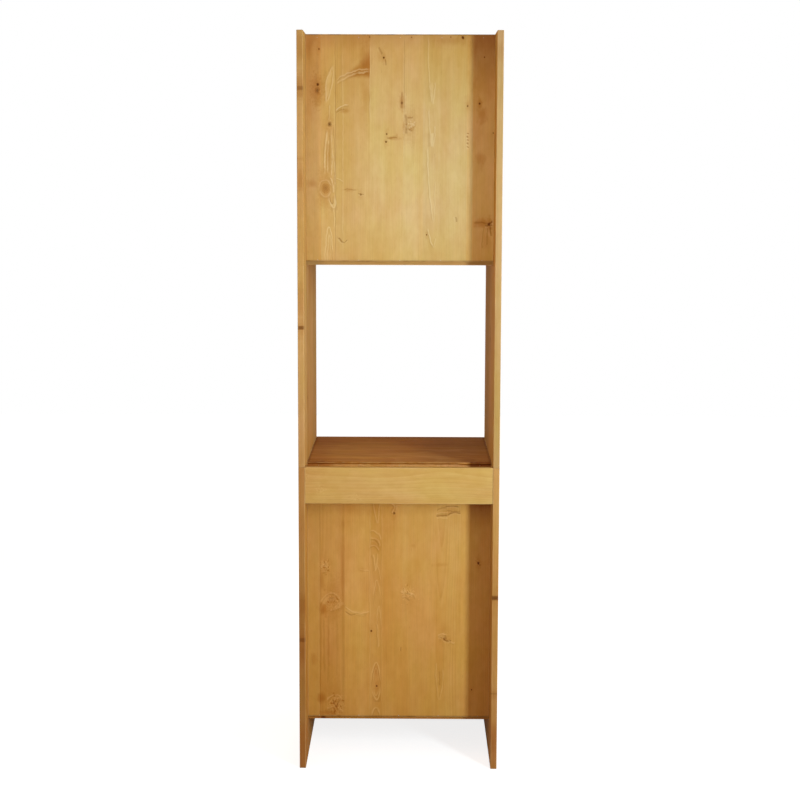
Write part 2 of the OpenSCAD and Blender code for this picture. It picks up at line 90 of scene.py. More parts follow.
class Figure:
    """A node tree written with short calls, for the figure of one board or the finish of a metal."""

    def __init__(self, tree):
        self.tree = tree

    def put(self, socket, value):
        if isinstance(value, Value):
            self.tree.links.new(value.socket, socket)
        else:
            socket.default_value = value

    def node(self, kind, values=(), **settings):
        node = self.tree.nodes.new(kind)
        for name, value in settings.items():
            setattr(node, name, value)
        for name, value in dict(values).items():
            self.put(node.inputs[name], value)
        return node

    def outs(self, node):
        return {socket.name: Value(self, socket) for socket in node.outputs}

    def add(self, kind, values=(), out=0, **settings):
        return Value(self, self.node(kind, values, **settings).outputs[out])

    def calc(self, operation, *values):
        return self.add("ShaderNodeMath", enumerate(values), operation=operation)

    def group(self, tree, *values):
        return self.outs(self.node("ShaderNodeGroup", enumerate(values), node_tree=tree))

    def most(self, first, second):
        return self.calc("MAXIMUM", first, second)

    def least(self, first, second):
        return self.calc("MINIMUM", first, second)

    def distance(self, aside, along):
        return self.calc("SQRT", aside.scaled(aside, along * along))

    def after(self, value, earlier):
        """The value itself, worked out only after the earlier one: a shader holds few at once."""
        return self.calc("MULTIPLY_ADD", earlier, 1e-9, value)

    def vector(self, x, y, z):
        return self.add("ShaderNodeCombineXYZ", {"X": x, "Y": y, "Z": z})

    def parts(self, vector):
        return list(self.outs(self.node("ShaderNodeSeparateXYZ", {"Vector": vector})).values())

    def fade(self, value, start, end):
        """0 before start and 1 past end, with soft shoulders; start may be the larger."""
        values = {"Value": value, "From Min": start, "From Max": end}
        return self.add("ShaderNodeMapRange", values, interpolation_type="SMOOTHSTEP")

    def where(self):
        return self.add("ShaderNodeTexCoord", out="Object")

    def noise(self, vector, scale, detail=2.0, roughness=0.5):
        values = {"Vector": vector, "Scale": scale, "Detail": detail, "Roughness": roughness}
        return self.add("ShaderNodeTexNoise", values, "Fac")

    def cloud(self, x, y, z, detail=2.0, roughness=0.5):
        """Noise at a place that is already scaled."""
        return self.noise(self.vector(x, y, z), 1.0, detail, roughness)

    def bump(self, height, strength, distance):
        return self.add("ShaderNodeBump", {"Strength": strength, "Distance": distance, "Height": height})

    def ramp(self, value, stops):
        node = self.node("ShaderNodeValToRGB", {"Fac": value})
        points = node.color_ramp.elements
        while len(points) < len(stops):
            points.new(1.0)
        for point, (place, color) in zip(points, stops):
            point.position = place
            point.color = (*color, 1.0) if isinstance(color, tuple) else (color, color, color, 1.0)
        return Value(self, node.outputs["Color"])

    def mix(self, share, first, second, blend="MIX"):
        first, second = ((*one, 1.0) if isinstance(one, tuple) else one for one in (first, second))
        values = {0: share, 6: first, 7: second}
        return self.add("ShaderNodeMix", values, 2, data_type="RGBA", blend_type=blend)

    def tint(self, color, tone, share=None):
        """The colour times a tone, laid over the colour by a share where one is given."""
        tinted = self.mix(1.0, color, tone, "MULTIPLY")
        return tinted if share is None else self.mix(share, color, tinted)

    def tones(self, color, place, stops, share=None):
        """The colour times the tones that stand at places along a board."""
        start, reach = stops[0][0], stops[-1][0] - stops[0][0]
        shares = [((spot - start) / reach, tone) for spot, tone in stops]
        return self.tint(color, self.ramp((place - start) / reach, shares), share)

    def surface(self, values):
        """Gives the principled shader its values."""
        for name, value in values.items():
            self.put(self.tree.nodes["Principled BSDF"].inputs[name], value)


def new_material(name):
    material = bpy.data.materials.new(name)
    material.use_nodes = True
    return material, Figure(material.node_tree)


def coat(nodes, material):
    """Puts the material on each of the CAD nodes in place of its plain one."""
    for node in nodes:
        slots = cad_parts[node].data.materials
        slots.clear()
        slots.append(material)


def new_group(name, inputs, outputs):
    """A group of shader nodes: its figure, the values that go in, and the sockets that take results."""
    tree = bpy.data.node_groups.new(name, "ShaderNodeTree")
    for way, sockets in (("INPUT", inputs), ("OUTPUT", outputs)):
        for socket in sockets:
            tree.interface.new_socket(socket, in_out=way, socket_type="NodeSocketFloat")
    fig = Figure(tree)
    return fig, fig.outs(fig.node("NodeGroupInput")), fig.node("NodeGroupOutput").inputs


def knot_group():
    """One knot: how far it pushes the grain aside, its depth, and the shade and curls around it."""
    fig, inlet, outlet = new_group(
        "Knot", ("Across", "Along", "Knot across", "Knot along", "Radius", "Seed"),
        ("Push", "Depth", "Shade", "Curls"))
    radius = inlet["Radius"]
    across = inlet["Across"] - inlet["Knot across"]
    along = inlet["Along"] - inlet["Knot along"]
    long_way = along / 2.6
    squares = across.scaled(across, long_way * long_way)
    radius_sq = radius * radius
    push = across * (radius_sq / (squares + radius_sq))
    ragged = fig.noise(fig.vector(across, along, inlet["Seed"]), 130.0, 3.0)
    near = fig.distance(across, along / 1.25) / radius
    depth = near * ragged.scaled(1.1, 0.45)
    spread = fig.calc("SQRT", squares) / radius
    shade = fig.fade(spread * ragged.scaled(1.4, 0.3), 3.4, 0.6)
    curl = fig.noise(fig.vector(across, along * 0.7, inlet["Seed"] * 0.31), 150.0, 1.5)
    line = fig.fade(abs(curl - 0.5), 0.05, 0.015)
    hollow = fig.fade(curl, 0.42, 0.32)
    curls = (line - hollow * 0.8) * fig.fade(near * ragged, 1.5, 0.6)
    for number, value in enumerate((push, depth, shade, curls)):
        fig.put(outlet[number], value)
    return fig.tree


def stroke_group():
    """One bowed line of the figure from a start to an end, and the line close beside it."""
    fig, inlet, outlet = new_group(
        "Stroke", ("Across", "Along", "Start across", "Start along", "Way across", "Way along", "Length",
                   "Bow", "Width", "Pale before", "Dark before", "Pale line", "Pale beside", "Dark line",
                   "Dark beside"), ("Pale", "Dark"))
    turn = inlet["Pale before"] + inlet["Dark before"]
    across = fig.after(inlet["Across"], turn) - inlet["Start across"]
    along = fig.after(inlet["Along"], turn) - inlet["Start along"]
    t = across.scaled(inlet["Way across"], along * inlet["Way along"]) / inlet["Length"]
    off = along * inlet["Way across"] - across * inlet["Way along"]
    bow = inlet["Bow"] * 4.0
    off = off - bow * (t * (1.0 - t))
    slope = t.scaled(-2.0, 1.0) * (bow / inlet["Length"])
    off = off / fig.calc("SQRT", slope.scaled(slope, 1.0)) / inlet["Width"]
    ends = fig.fade(t, -0.02, 0.08) * fig.fade(t, 1.02, 0.92)
    body = fig.fade(abs(off), 0.6, 0.15) * ends
    beside = fig.fade(abs(off + 0.85), 0.6, 0.15) * ends
    for name in ("Pale", "Dark"):
        mark = beside.scaled(inlet[name + " beside"], body * inlet[name + " line"])
        fig.put(outlet[name], fig.most(inlet[name + " before"], mark))
    return fig.tree


KNOT = knot_group()
STROKE = stroke_group()


def around_knots(fig, across, along, bent, knots, seed):
    """Knots push the grain aside; gives the grain, and their cores, hearts, shade and curls."""
    core, heart, shade, curls = 0.0, 0.0, 0.0, 0.0
    for number, (knot_across, knot_along, radius, dark, brown, pale) in enumerate(knots):
        spot = fig.group(KNOT, fig.after(across, bent), fig.after(along, bent), knot_across, knot_along,
                         radius, seed + number)
        bent = bent - spot["Push"]
        if dark:
            inside = fig.fade(spot["Depth"], 1.15, 0.75) * dark
            centre = fig.fade(spot["Depth"], 0.65, 0.25) * dark
            core, heart = fig.most(core, inside), fig.most(heart, centre)
        if brown:
            shade = fig.most(shade, spot["Shade"] * brown)
        if pale:
            curls = spot["Curls"].scaled(pale, curls)
    return bent, core, heart, shade, curls


def smudged(fig, across, along, shade, smudges, seed):
    """The shade around the knots, with the brown smudges and their ragged rims."""
    ragged = fig.cloud(across * 55.0, along * 28.0, seed, 4.0, 0.6).scaled(2.6, -0.3)
    for smudge_across, smudge_along, reach_across, reach_along, brown in smudges:
        off_across = (fig.after(across, shade) - smudge_across) / reach_across
        off_along = (fig.after(along, shade) - smudge_along) / reach_along
        smudge = fig.fade(fig.distance(off_across, off_along) * ragged, 1.0, 0.1)
        shade = fig.most(shade, smudge * brown)
    return shade


def cut_from_logs(fig, across, staves, seed):
    """Each stave is a slice of its own log; gives the log's pith and number, its tint and how plain."""
    first = staves[0]
    pith = fig.vector(first[1], first[2], seed)
    # Warmth turns honey towards amber
    tints = [(light, light * (1.0 - 0.22 * warmth), light * (1.0 - 0.5 * warmth))
             for *_, light, warmth, _ in staves]
    tint = fig.vector(*tints[0])
    plain = first[5]
    for before, after, old, new in zip(staves, staves[1:], tints, tints[1:]):
        past = across > after[0]
        gate = fig.vector(past, past, past)
        step = (after[1] - before[1], after[2] - before[2], 3.7)
        pith = fig.add("ShaderNodeVectorMath", {0: gate, 1: step, 2: pith}, operation="MULTIPLY_ADD")
        step = tuple(b - a for a, b in zip(old, new))
        tint = fig.add("ShaderNodeVectorMath", {0: gate, 1: step, 2: tint}, operation="MULTIPLY_ADD")
        plain = past.scaled(after[5] - before[5], plain)
    return fig.parts(pith), tint, plain


def with_strokes(fig, color, across, along, strokes, seed):
    """The colour with the strokes drawn over it, a little unsteady and broken in places."""
    values = {"Vector": fig.vector(across * 40.0, along * 40.0, seed), "Scale": 1.0, "Detail": 2.0}
    wave = fig.parts(fig.add("ShaderNodeTexNoise", values, "Color"))
    pen_across = (wave[0] - 0.5).scaled(0.006, across)
    pen_along = (wave[1] - 0.5).scaled(0.018, along)
    drawn = {"Pale": pen_across * 0.0001, "Dark": pen_along * 0.0001}
    for start_across, start_along, end_across, end_along, bow, width, tone in strokes:
        length = math.hypot(end_across - start_across, end_along - start_along)
        way = ((end_across - start_across) / length, (end_along - start_along) / length)
        tones = (tone, 0.0, 0.0, 0.2 * tone) if tone > 0 else (0.0, -0.7 * tone, -tone, 0.0)
        drawn = fig.group(STROKE, pen_across, pen_along, start_across, start_along, *way, length, bow,
                          width, drawn["Pale"], drawn["Dark"], *tones)
    broken = fig.fade(wave[2], 0.25, 0.5)
    pale_line = drawn["Pale"] * broken.scaled(0.4, 0.25)
    color = fig.tint(color, KNOT_BROWN, drawn["Dark"])
    return fig.mix(pale_line, color, STROKE_WOOD)


def pine(node, grain, face, staves, knots=(), smudges=(), wash=(), edge=None, seed=0.0,
         ring_width=0.0042, strokes=(), extra=None):
    """Waxed pine for one CAD node.

    grain and face name the axes along the grain and through the board. A stave is its first edge,
    the place of its pith across and through, its lightness, its warmth and how plain its rings
    are. A knot is its place across and along, its radius, how dark its core is, the brown around
    it and its pale curls. A smudge is its place, its reach across and along, and its strength.
    wash is places along the grain with a tint at each, and edge a tint for the board's narrow
    faces. A stroke is its two ends, its bow, its width and how pale it is, or dark where that is
    below 0. extra is a function that adds marks of this board alone. All places and sizes are in
    metres.
    """
    material, fig = new_material("pine_" + node)
    low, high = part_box(node)
    axis = {letter: number for number, letter in enumerate("XYZ")}
    coordinates = fig.outs(fig.node("ShaderNodeTexCoord"))
    place = dict(zip("XYZ", fig.parts(coordinates["Object"])))
    side_way = ({"X", "Y", "Z"} - {grain, face}).pop()
    across, along, through = place[side_way], place[grain], place[face]

    # The grain wanders slowly, and a little more finely
    slow = fig.cloud(across * 3.0, along * 0.9, through.scaled(3.0, seed), 1.0) - 0.5
    fine = fig.cloud(across * 22.0, along * 3.5, through.scaled(22.0, seed)) - 0.5
    bent = slow.scaled(0.03, fine.scaled(0.004, across))

    bent, core, heart, shade, curls = around_knots(fig, across, along, bent, knots, seed)
    shade = smudged(fig, across, along, shade, smudges, seed)

    # Year rings around the pith of each stave's own log
    (pith_across, pith_through, log), tint, plain = cut_from_logs(fig, across, staves, seed)
    drift = fig.cloud(log, along * 1.1, 0.0) - 0.5
    reach = fig.distance(bent - pith_across, through - pith_through - drift * 0.05)
    uneven = fig.cloud(reach * 60.0, log, 0.0, 1.0)
    count = uneven.scaled(1.6, reach / ring_width)
    ring = fig.calc("FRACT", count)
    year = fig.fade(fig.noise(fig.vector(count, log, 4.0), 0.4, 1.0), 0.25, 0.7)
    late = fig.ramp(ring, ((0.0, 0.2), (0.1, 0.0), (0.45, 0.15), (0.85, 0.75), (1.0, 1.0))) * year * plain
    line = fig.ramp(ring, ((0.0, 0.0), (0.07, 1.0), (0.22, 0.3), (0.4, 0.0))) * year * plain

    # Colour: early and late wood, slow patches, fibres, resin ducts
    patch = fig.cloud(across * 14.0, along * 1.7, through + log, 3.0, 0.55)
    mottle = fig.cloud(across * 42.0, along * 20.0, through.scaled(42.0, seed), 3.0, 0.6)
    fibre = fig.cloud(bent * 260.0, along * 5.0, through * 260.0, 3.0, 0.6)
    duct = fig.fade(fig.cloud(bent * 800.0, along * 45.0, through * 800.0, 0.0), 0.78, 0.84)
    color = fig.mix(late, EARLY_WOOD, LATE_WOOD)
    color = fig.mix(line * 0.6, color, PALE_WOOD)
    color = fig.tint(color, PATCH_TINT, fig.fade(patch, 0.35, 0.75))
    color = fig.tint(color, fig.ramp(fibre, ((0.3, 0.95), (0.7, 1.03))))
    color = fig.tint(color, fig.ramp(mottle, ((0.3, (0.95, 0.93, 0.88)), (0.7, (1.03, 1.05, 1.1)))))
    color = fig.mix(duct * 0.25, color, DUCT_BROWN)
    cloud = fig.cloud(across * 9.0, along * 4.0, through.scaled(9.0, seed), 3.0, 0.6)
    color = fig.tint(color, fig.ramp(cloud, ((0.35, (0.98, 1.01, 0.92)), (0.65, (1.02, 0.99, 1.1)))))
    if extra:
        color = extra(fig, color, across, along)
    if strokes:
        color = with_strokes(fig, color, across, along, strokes, seed)
    color = fig.tint(color, tint)
    if wash:
        color = fig.tones(color, along, wash)
    if edge:
        narrow = abs(fig.parts(coordinates["Normal"])[axis[side_way]])
        color = fig.tint(color, edge, fig.fade(narrow, 0.3, 0.8))
    if knots or smudges:
        color = fig.tint(color, KNOT_SHADE, shade * 0.8)
    if knots:
        color = fig.tint(color, CURL_TINT, fig.fade(curls, 0.0, 1.0))
        color = fig.tint(color, KNOT_SHADE, fig.fade(curls, 0.0, -1.0))
        color = fig.tint(color, KNOT_BROWN, core)
        color = fig.mix(heart, color, KNOT_HEART)

    # Ends and arrises: darker end grain, wax left in the joints, and arrises made lighter, partly by wear
    # and partly by a painted highlight
    normal = fig.parts(coordinates["Normal"])[axis[grain]]
    end_face = fig.fade(abs(normal), 0.5, 0.8)
    color = fig.tint(color, END_TINT, end_face)
    edges = [fig.least(place[letter] - low[way], high[way] - place[letter]) for letter, way in axis.items()]
    joint = fig.fade(edges[axis[grain]], 0.0022, 0.0006) * (1.0 - end_face)
    color = fig.mix(joint * 0.55, color, JOINT_BROWN)
    nearest, farther = fig.least(edges[0], edges[1]), fig.most(edges[0], edges[1])
    arris = fig.fade(fig.most(nearest, fig.least(farther, edges[2])), 0.0035, 0.0008)
    wear_and_highlight = arris * fig.fade(fig.cloud(across * 30.0, along * 8.0, through), 0.3, 0.6)
    color = fig.mix(wear_and_highlight * 0.35, color, ARRIS_WEAR_AND_HIGHLIGHT)

    rough = late.scaled(-0.08, fibre.scaled(0.12, 0.62))
    rise = late.scaled(0.6, fibre * 0.5) - duct * 0.5
    fig.surface({"Base Color": color, "Roughness": rough, "Normal": fig.bump(rise, 0.3, 0.0003),
                 "Specular IOR Level": WAX_SHEEN})
    coat([node], material)


def glued_staves(low, high, width, seed, light=1.0, warmth=0.0):
    """Staves of about one width across a board that no photograph shows, chosen by the seed."""
    draw = random.Random(seed)
    staves = []
    edge = low
    while edge < high:
        size = width * draw.uniform(0.8, 1.2)
        middle = edge + size / 2
        staves.append((edge, middle + draw.uniform(-0.04, 0.04),
                       draw.choice((-1, 1)) * draw.uniform(0.03, 0.08), light * draw.uniform(0.94, 1.04),
                       warmth + draw.uniform(-0.15, 0.2), draw.uniform(0.35, 0.7)))
        edge += size
    return staves


def in_metres(count, rows):
    """Rows of numbers, of which the first ones, as many as count says, were in millimetres."""
    return [(*(value / 1000 for value in row[:count]), *row[count:]) for row in rows]


EARLY_WOOD = (0.64, 0.415, 0.15)
LATE_WOOD = (0.5, 0.265, 0.07)
PALE_WOOD = (0.72, 0.51, 0.23)
PATCH_TINT = (0.93, 0.85, 0.7)
DUCT_BROWN = (0.26, 0.11, 0.03)
KNOT_SHADE = (0.74, 0.55, 0.36)
KNOT_BROWN = (0.42, 0.28, 0.18)
KNOT_HEART = (0.07, 0.025, 0.008)
STROKE_WOOD = (0.735, 0.54, 0.265)
CURL_TINT = (1.16, 1.25, 1.45)
END_TINT = (0.78, 0.68, 0.55)
JOINT_BROWN = (0.11, 0.05, 0.015)
# Colour of the lighter arrises: partly wear, partly a painted highlight
ARRIS_WEAR_AND_HIGHLIGHT = (0.7, 0.46, 0.2)
WAX_SHEEN = 0.015

AT_REAR = -311


def side_board(node, seed, knots, smudges, wash, edge, extra=None):
    """A side; its knots and smudges are in millimetres, and those at AT_REAR show on its edge."""
    low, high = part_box(node)
    pine(node, "Z", "X", glued_staves(low.y, high.y, 0.11, seed), in_metres(3, knots),
         in_metres(4, smudges), wash, edge, seed, extra=extra)


# Their washes darken and warm the legs below 0.11 m: painted shade under the bottom board
side_board("lower_side_left", 3, edge=(0.72, 0.66, 0.74),
           knots=((AT_REAR, 401, 6, 0.5, 0.6, 0.0), (120, 610, 11, 0.8, 0.6, 0.5),
                  (-120, 220, 9, 0.7, 0.6, 1.0)),
           smudges=((AT_REAR, 500, 30, 50, 0.6), (AT_REAR, 360, 30, 50, 0.6)),
           wash=((0.0, (0.87, 0.6, 0.35)), (0.11, (0.87, 0.6, 0.35)), (0.15, (0.92, 0.74, 0.52)),
                 (0.3, (0.94, 0.76, 0.5)), (0.93, (0.96, 0.82, 0.6))))
side_board("lower_side_right", 8, edge=(0.88, 0.87, 1.08),
           knots=((AT_REAR, 534, 6, 0.9, 0.3, 0.0), (AT_REAR, 236, 3, 0.8, 0.4, 0.0),
                  (50, 700, 12, 0.8, 0.6, 0.6), (180, 310, 10, 0.6, 0.7, 1.2)),
           smudges=((AT_REAR, 100, 30, 80, 0.5),),
           wash=((0.0, (0.91, 0.66, 0.43)), (0.11, (0.91, 0.66, 0.43)), (0.15, (0.98, 0.77, 0.5)),
                 (0.4, (0.98, 0.78, 0.52)), (0.93, (0.96, 0.82, 0.6))))

# Lower bottom board and oven shelf
# Pine boards with the grain from side to side, dowelled between the sides. The oven stands on the
# shelf; the bare rear edge of the bottom board shows under the back panel.
def level_board(node, stave, seed, knots, light=1.0, warmth=0.0, **looks):
    """A board with its grain from side to side; knots are placed from its rear edge, in millimetres."""
    low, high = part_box(node)
    placed = [(low.y + from_rear, *rest) for from_rear, *rest in in_metres(3, knots)]
    staves = glued_staves(low.y, high.y, stave, seed, light, warmth)
    pine(node, "X", "Z", staves, placed, seed=seed, **looks)


def front_arris_shade(fig, color, across, along):
    """Painted shade: the boards grow darker towards their front arrises."""
    near = fig.fade(across, 0.235, 0.284).scaled(0.45, fig.fade(across, 0.281, 0.284))
    return fig.tint(color, KNOT_BROWN, near * 0.42)


def shelf_streaks_and_shade(fig, color, across, along):
    """Streaks along the shelf, painted shade towards its front, darker on its right and at its left end,
    dark lines along its ends and front arris.
    """
    streak = fig.cloud(across * 55.0, along * 4.0, 5.0, 3.0, 0.6)
    color = fig.tint(color, fig.ramp(streak, ((0.35, (0.9, 0.86, 0.88)), (0.65, (1.06, 1.07, 1.12)))))
    # Painted shade: the shelf darkens towards its front
    color = fig.tones(color, across, SHELF_TONE_AND_SHADE)
    color = fig.tint(color, (0.85, 0.85, 0.92), fig.fade(along, 0.02, 0.13))
    color = fig.tint(color, (0.92, 0.87, 0.88), fig.fade(along, -0.19, -0.25))
    foot = fig.most(fig.fade(abs(along), 0.271, 0.279), fig.fade(across, 0.272, 0.282))
    color = fig.tint(color, KNOT_BROWN, foot * 0.5)
    return front_arris_shade(fig, color, across, along)


# Tones across the shelf from rear to front; their darkening towards the front is painted shade
SHELF_TONE_AND_SHADE = ((-0.19, (1.01, 1.01, 1.1)), (-0.12, (1.13, 1.15, 1.35)), (-0.045, (1.01, 1.0, 1.12)),
               (0.06, (1.0, 1.0, 1.14)), (0.19, (0.78, 0.7, 0.66)), (0.286, (0.72, 0.64, 0.6)))
for node, seed, marks in (("lower_bottom_board", 21, front_arris_shade), ("oven_shelf", 22, shelf_streaks_and_shade)):
    level_board(node, 0.1, seed, ((3, -235, 6, 0.7, 0.6, 0.0), (190, 20, 12, 0.0, 0.5, 0.3),
                                   (360, -200, 6, 0.0, 0.5, 0.3)),
                light=0.84, warmth=1.0, edge=(1.16, 1.12, 1.12), extra=marks)

# Rear rail
# One pine board on edge between the lower sides, with a fine level grain. It ties the sides
# together behind the oven shelf.
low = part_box("rear_rail")[0]
pine("rear_rail", "X", "Y", ((low.z, 0.93, -0.18, 1.0, 0.0, 0.25),), seed=31.0,
     knots=((0.905, -0.29, 0.01, 0.0, 0.2, 0.5), (0.862, -0.235, 0.006, 0.0, 0.0, 0.5),
            (0.84, -0.13, 0.006, 0.0, 0.0, 0.4)),
     wash=((-0.281, (0.89, 0.8, 0.68)), (-0.1, (0.89, 0.84, 0.75)), (0.281, (0.9, 0.9, 0.87))))

# Lower back panel
# Pine panel glued up from upright staves, pinned to the rear edges of the bottom board and of the
# shelf.
# The last stave, from 216 mm, lies in the right side's shadow; its added lightness and warmth are painted
# light there
LOWER_STAVES = in_metres(3, (
    (-300, -330, -240, 0.94, 0.3, 0.2), (-244, -200, -270, 0.91, 0.45, 0.5),
    (-167, -60, -260, 1.0, 0.22, 0.15), (-90, -72, -250, 0.95, 0.32, 0.25),
    (-51, 90, -250, 0.98, 0.25, 0.3), (11, -90, -260, 0.97, 0.22, 0.2), (114, 126, -250, 0.99, 0.06, 0.35),
    (190, 300, -240, 1.0, 0.12, 0.2), (216, 300, -240, 1.02, 0.24, 0.2),
))
LOWER_KNOTS = in_metres(3, (
    (-15, 769, 4, 0.7, 0.4, 0.6), (-202, 493, 12, 0.0, 0.5, 0.9), (28, 518, 10, 0.0, 0.2, 1.0),
    (143, 378, 7, 0.2, 0.2, 0.8), (-195, 165, 12, 0.0, 0.3, 1.0), (-68, 223, 3, 0.8, 0.4, 0.5),
    (226, 213, 2, 1.0, 0.2, 0.0), (-227, 602, 8, 0.0, 0.2, 1.0), (-85, 399, 3, 1.0, 0.3, 0.0),
    (244, 614, 4, 0.9, 0.5, 0.6),
))
LOWER_STROKES = in_metres(6, (
    (-242, 490, -175, 488, 30, 6, 0.8), (-232, 485, -182, 482, 16, 5, 0.6),
    (-215, 462, -180, 478, -4, 6, 0.8), (-218, 497, -198, 499, 3, 6, -0.4),
    (-167, 478, -91, 463, -14, 5, 0.9), (-166, 456, -132, 451, -2, 4, -0.45),
    (-135, 451, -105, 451, 0, 4, 0.5), (-120, 596, -91, 592, -2, 5, 0.5), (-241, 598, -226, 610, 3, 6, 0.8),
    (-226, 620, -219, 598, 2, 6, 0.8), (-238, 586, -218, 590, 0, 5, 0.6),
    (-231, 607, -224, 598, 0, 5, -0.5), (-222, 176, -196, 197, 3, 6, 0.8),
    (-196, 197, -176, 182, 3, 6, 0.7), (-221, 150, -197, 160, 2, 6, 0.8), (-190, 153, -172, 141, 2, 6, 0.8),
    (-216, 136, -182, 136, -6, 6, 0.6), (-205, 178, -194, 156, 0, 4, -0.5),
    (-194, 156, -182, 174, 0, 4, -0.5), (-80, 800, -67, 735, 0, 4, 0.6), (-59, 800, -65, 735, 0, 4, 0.6),
    (-88, 712, -55, 686, 12, 5, 0.7), (-88, 690, -58, 662, 10, 6, 0.6), (-88, 664, -60, 650, 8, 5, 0.8),
    (-86, 684, -62, 664, 6, 5, -0.3), (-80, 640, -73, 588, 3, 5, 0.8), (-66, 640, -73, 588, 2, 5, 0.7),
    (-68, 610, -56, 560, 2, 4, 0.5), (-79, 500, -57, 500, 60, 4, 0.6), (-68, 420, -54, 420, 56, 4, 0.8),
    (-67, 420, -63, 345, 1, 4, 0.8), (-61, 400, -60, 350, 0, 3, 0.5), (-85, 245, -55, 245, 53, 5, 1.0),
    (-78, 245, -62, 245, 34, 4, 0.7), (-83, 212, -56, 214, -32, 5, 0.9), (-77, 212, -62, 212, -18, 4, 0.7),
    (-84, 130, -57, 130, 24, 6, 1.0), (-89, 800, -89, 130, 0, 3, 0.5), (-52, 800, -52, 130, 0, 3, 0.35),
    (4, 527, 53, 508, 7, 6, 0.9), (9, 508, 42, 521, -6, 5, 0.9), (17, 536, 26, 512, 0, 5, 0.7),
    (18, 504, 34, 497, 0, 6, -0.35), (22, 522, 36, 517, 0, 4, -0.55), (120, 385, 147, 388, 4, 6, 0.8),
    (152, 371, 174, 363, -3, 5, 0.7), (124, 380, 135, 376, 0, 5, -0.5), (137, 378, 162, 368, -4, 6, -0.75),
    (114, 760, 148, 764, -2, 6, -0.6), (148, 764, 188, 771, 5, 6, -0.6), (140, 788, 184, 792, 2, 5, -0.45),
    (146, 779, 188, 778, -3, 4, -0.4), (116, 778, 146, 785, 3, 5, -0.3), (114, 769, 150, 773, -2, 5, 0.8),
    (116, 752, 150, 756, 0, 4, 0.5), (-26, 800, -14, 785, 6, 5, 0.8), (-8, 796, -12, 772, 3, 5, 0.6),
    (-13, 785, -20, 768, -3, 5, 0.8), (117, 300, 125, 178, -3, 4, 0.6), (137, 280, 127, 178, 4, 4, 0.6),
    (127, 275, 127, 225, 0, 7, -0.25), (7, 347, 7, 333, 0, 4, -0.4), (236, 628, 246, 612, 3, 4, 0.6),
    (240, 622, 250, 608, 0, 4, -0.5), (-230, 486, -212, 510, 4, 14, 0.6),
    (-198, 468, -174, 492, 0, 16, 0.65), (-238, 594, -222, 608, 0, 14, 0.65),
    (-202, 178, -184, 190, 0, 14, 0.6), (14, 526, 44, 512, 0, 18, 0.45), (122, 380, 144, 383, 0, 12, 0.4),
    (-162, 463, -98, 462, -4, 12, 0.35), (-242.5, 800, -242.5, 130, 0, 5, -0.16),
    (-171.5, 760, -171.5, 130, 0, 9, -0.1), (-217, 450, -219, 230, 1, 7, -0.11),
    (-232, 440, -230, 260, 0, 6, -0.12), (-190, 430, -192, 250, 0, 6, -0.09),
))
# The two smudges at 256 mm across, by 806 and 812 mm, are a painted shadow in the corner under the rail
LOWER_SMUDGES = in_metres(4, (
    (-232, 464, 24, 24, 1.0), (-208, 500, 22, 12, 0.5), (-262, 312, 14, 28, 0.5), (-238, 182, 22, 24, 1.0),
    (-212, 137, 42, 12, 0.9), (-193, 162, 14, 14, 0.5), (-236, 560, 10, 50, 0.5), (-174, 600, 9, 180, 0.5),
    (-217, 350, 6, 120, 0.4), (-72, 675, 18, 35, 0.5), (-113, 592, 14, 12, 0.4), (26, 508, 18, 12, 0.4),
    (150, 775, 44, 22, 0.35), (130, 608, 32, 9, 0.45), (44, 668, 12, 9, 0.4), (146, 372, 18, 10, 0.4),
    (-150, 785, 130, 35, 0.35), (256, 812, 50, 36, 1.0), (256, 806, 40, 26, 1.0), (-70, 270, 10, 30, 0.4),
    (-205, 488, 13, 11, 0.8),
))


def head_light_and_shade(fig, color, across, along):
    """Painted light and shade on the panel's head above the rail, with a painted shadow in its right
    corner.
    """
    # Painted shadow in the right corner, under the rail
    corner = fig.fade(across, 0.207, 0.222) * fig.fade(along, 0.715, 0.815)
    color = fig.tint(color, (0.54, 0.42, 0.43), corner)
    uneven = fig.cloud(across * 45.0, along * 250.0, 2.0)
    height = (uneven - 0.5).scaled(0.004, along)
    # The lines sink towards the right, in the side's shadow, so the dark line there is thicker: painted
    # shade
    height = fig.fade(across, 0.17, 0.2).scaled(0.002, height)
    head = along > HEAD_SHADE_LIGHT_AND_JOINT[0][0]
    color = fig.tones(color, height, HEAD_SHADE_LIGHT_AND_JOINT, head)
    # Painted shade at the left end, by the side
    left = head * fig.fade(across, -0.195, -0.215)
    return fig.tint(color, (0.78, 0.64, 0.46), left)


# Tones up the head: a painted shade line at its foot by the rail, lighter bands above it, the dark joint
# under the shelf, and a painted highlight on its top arris
HEAD_SHADE_LIGHT_AND_JOINT = ((0.908, (0.62, 0.46, 0.28)), (0.9125, (0.7, 0.55, 0.36)), (0.914, (1.1, 1.06, 1.15)),
              (0.9185, (1.12, 1.12, 1.5)), (0.92, (0.8, 0.72, 0.8)), (0.9215, (0.72, 0.62, 0.6)),
              (0.9225, (0.4, 0.25, 0.09)), (0.9245, (0.4, 0.25, 0.09)), (0.9255, (1.05, 0.92, 0.75)),
              (0.927, (1.15, 1.02, 0.85)))
# In its wash, the lighter band at 0.8 m, just under the rail, is painted light over the rail's shade
pine("lower_back_panel", "Z", "Y", LOWER_STAVES, LOWER_KNOTS, LOWER_SMUDGES, seed=41.0,
     strokes=LOWER_STROKES, extra=head_light_and_shade,
     wash=((0.126, (0.55, 0.42, 0.28)), (0.131, (1.0, 0.84, 0.58)), (0.2, (1.02, 0.86, 0.6)),
           (0.45, (1.03, 0.89, 0.67)), (0.7, (0.97, 0.87, 0.7)), (0.74, (0.94, 0.83, 0.65)),
           (0.8, (1.07, 0.97, 0.79)), (0.9, (0.93, 0.82, 0.66)), (0.927, (0.93, 0.82, 0.66))))

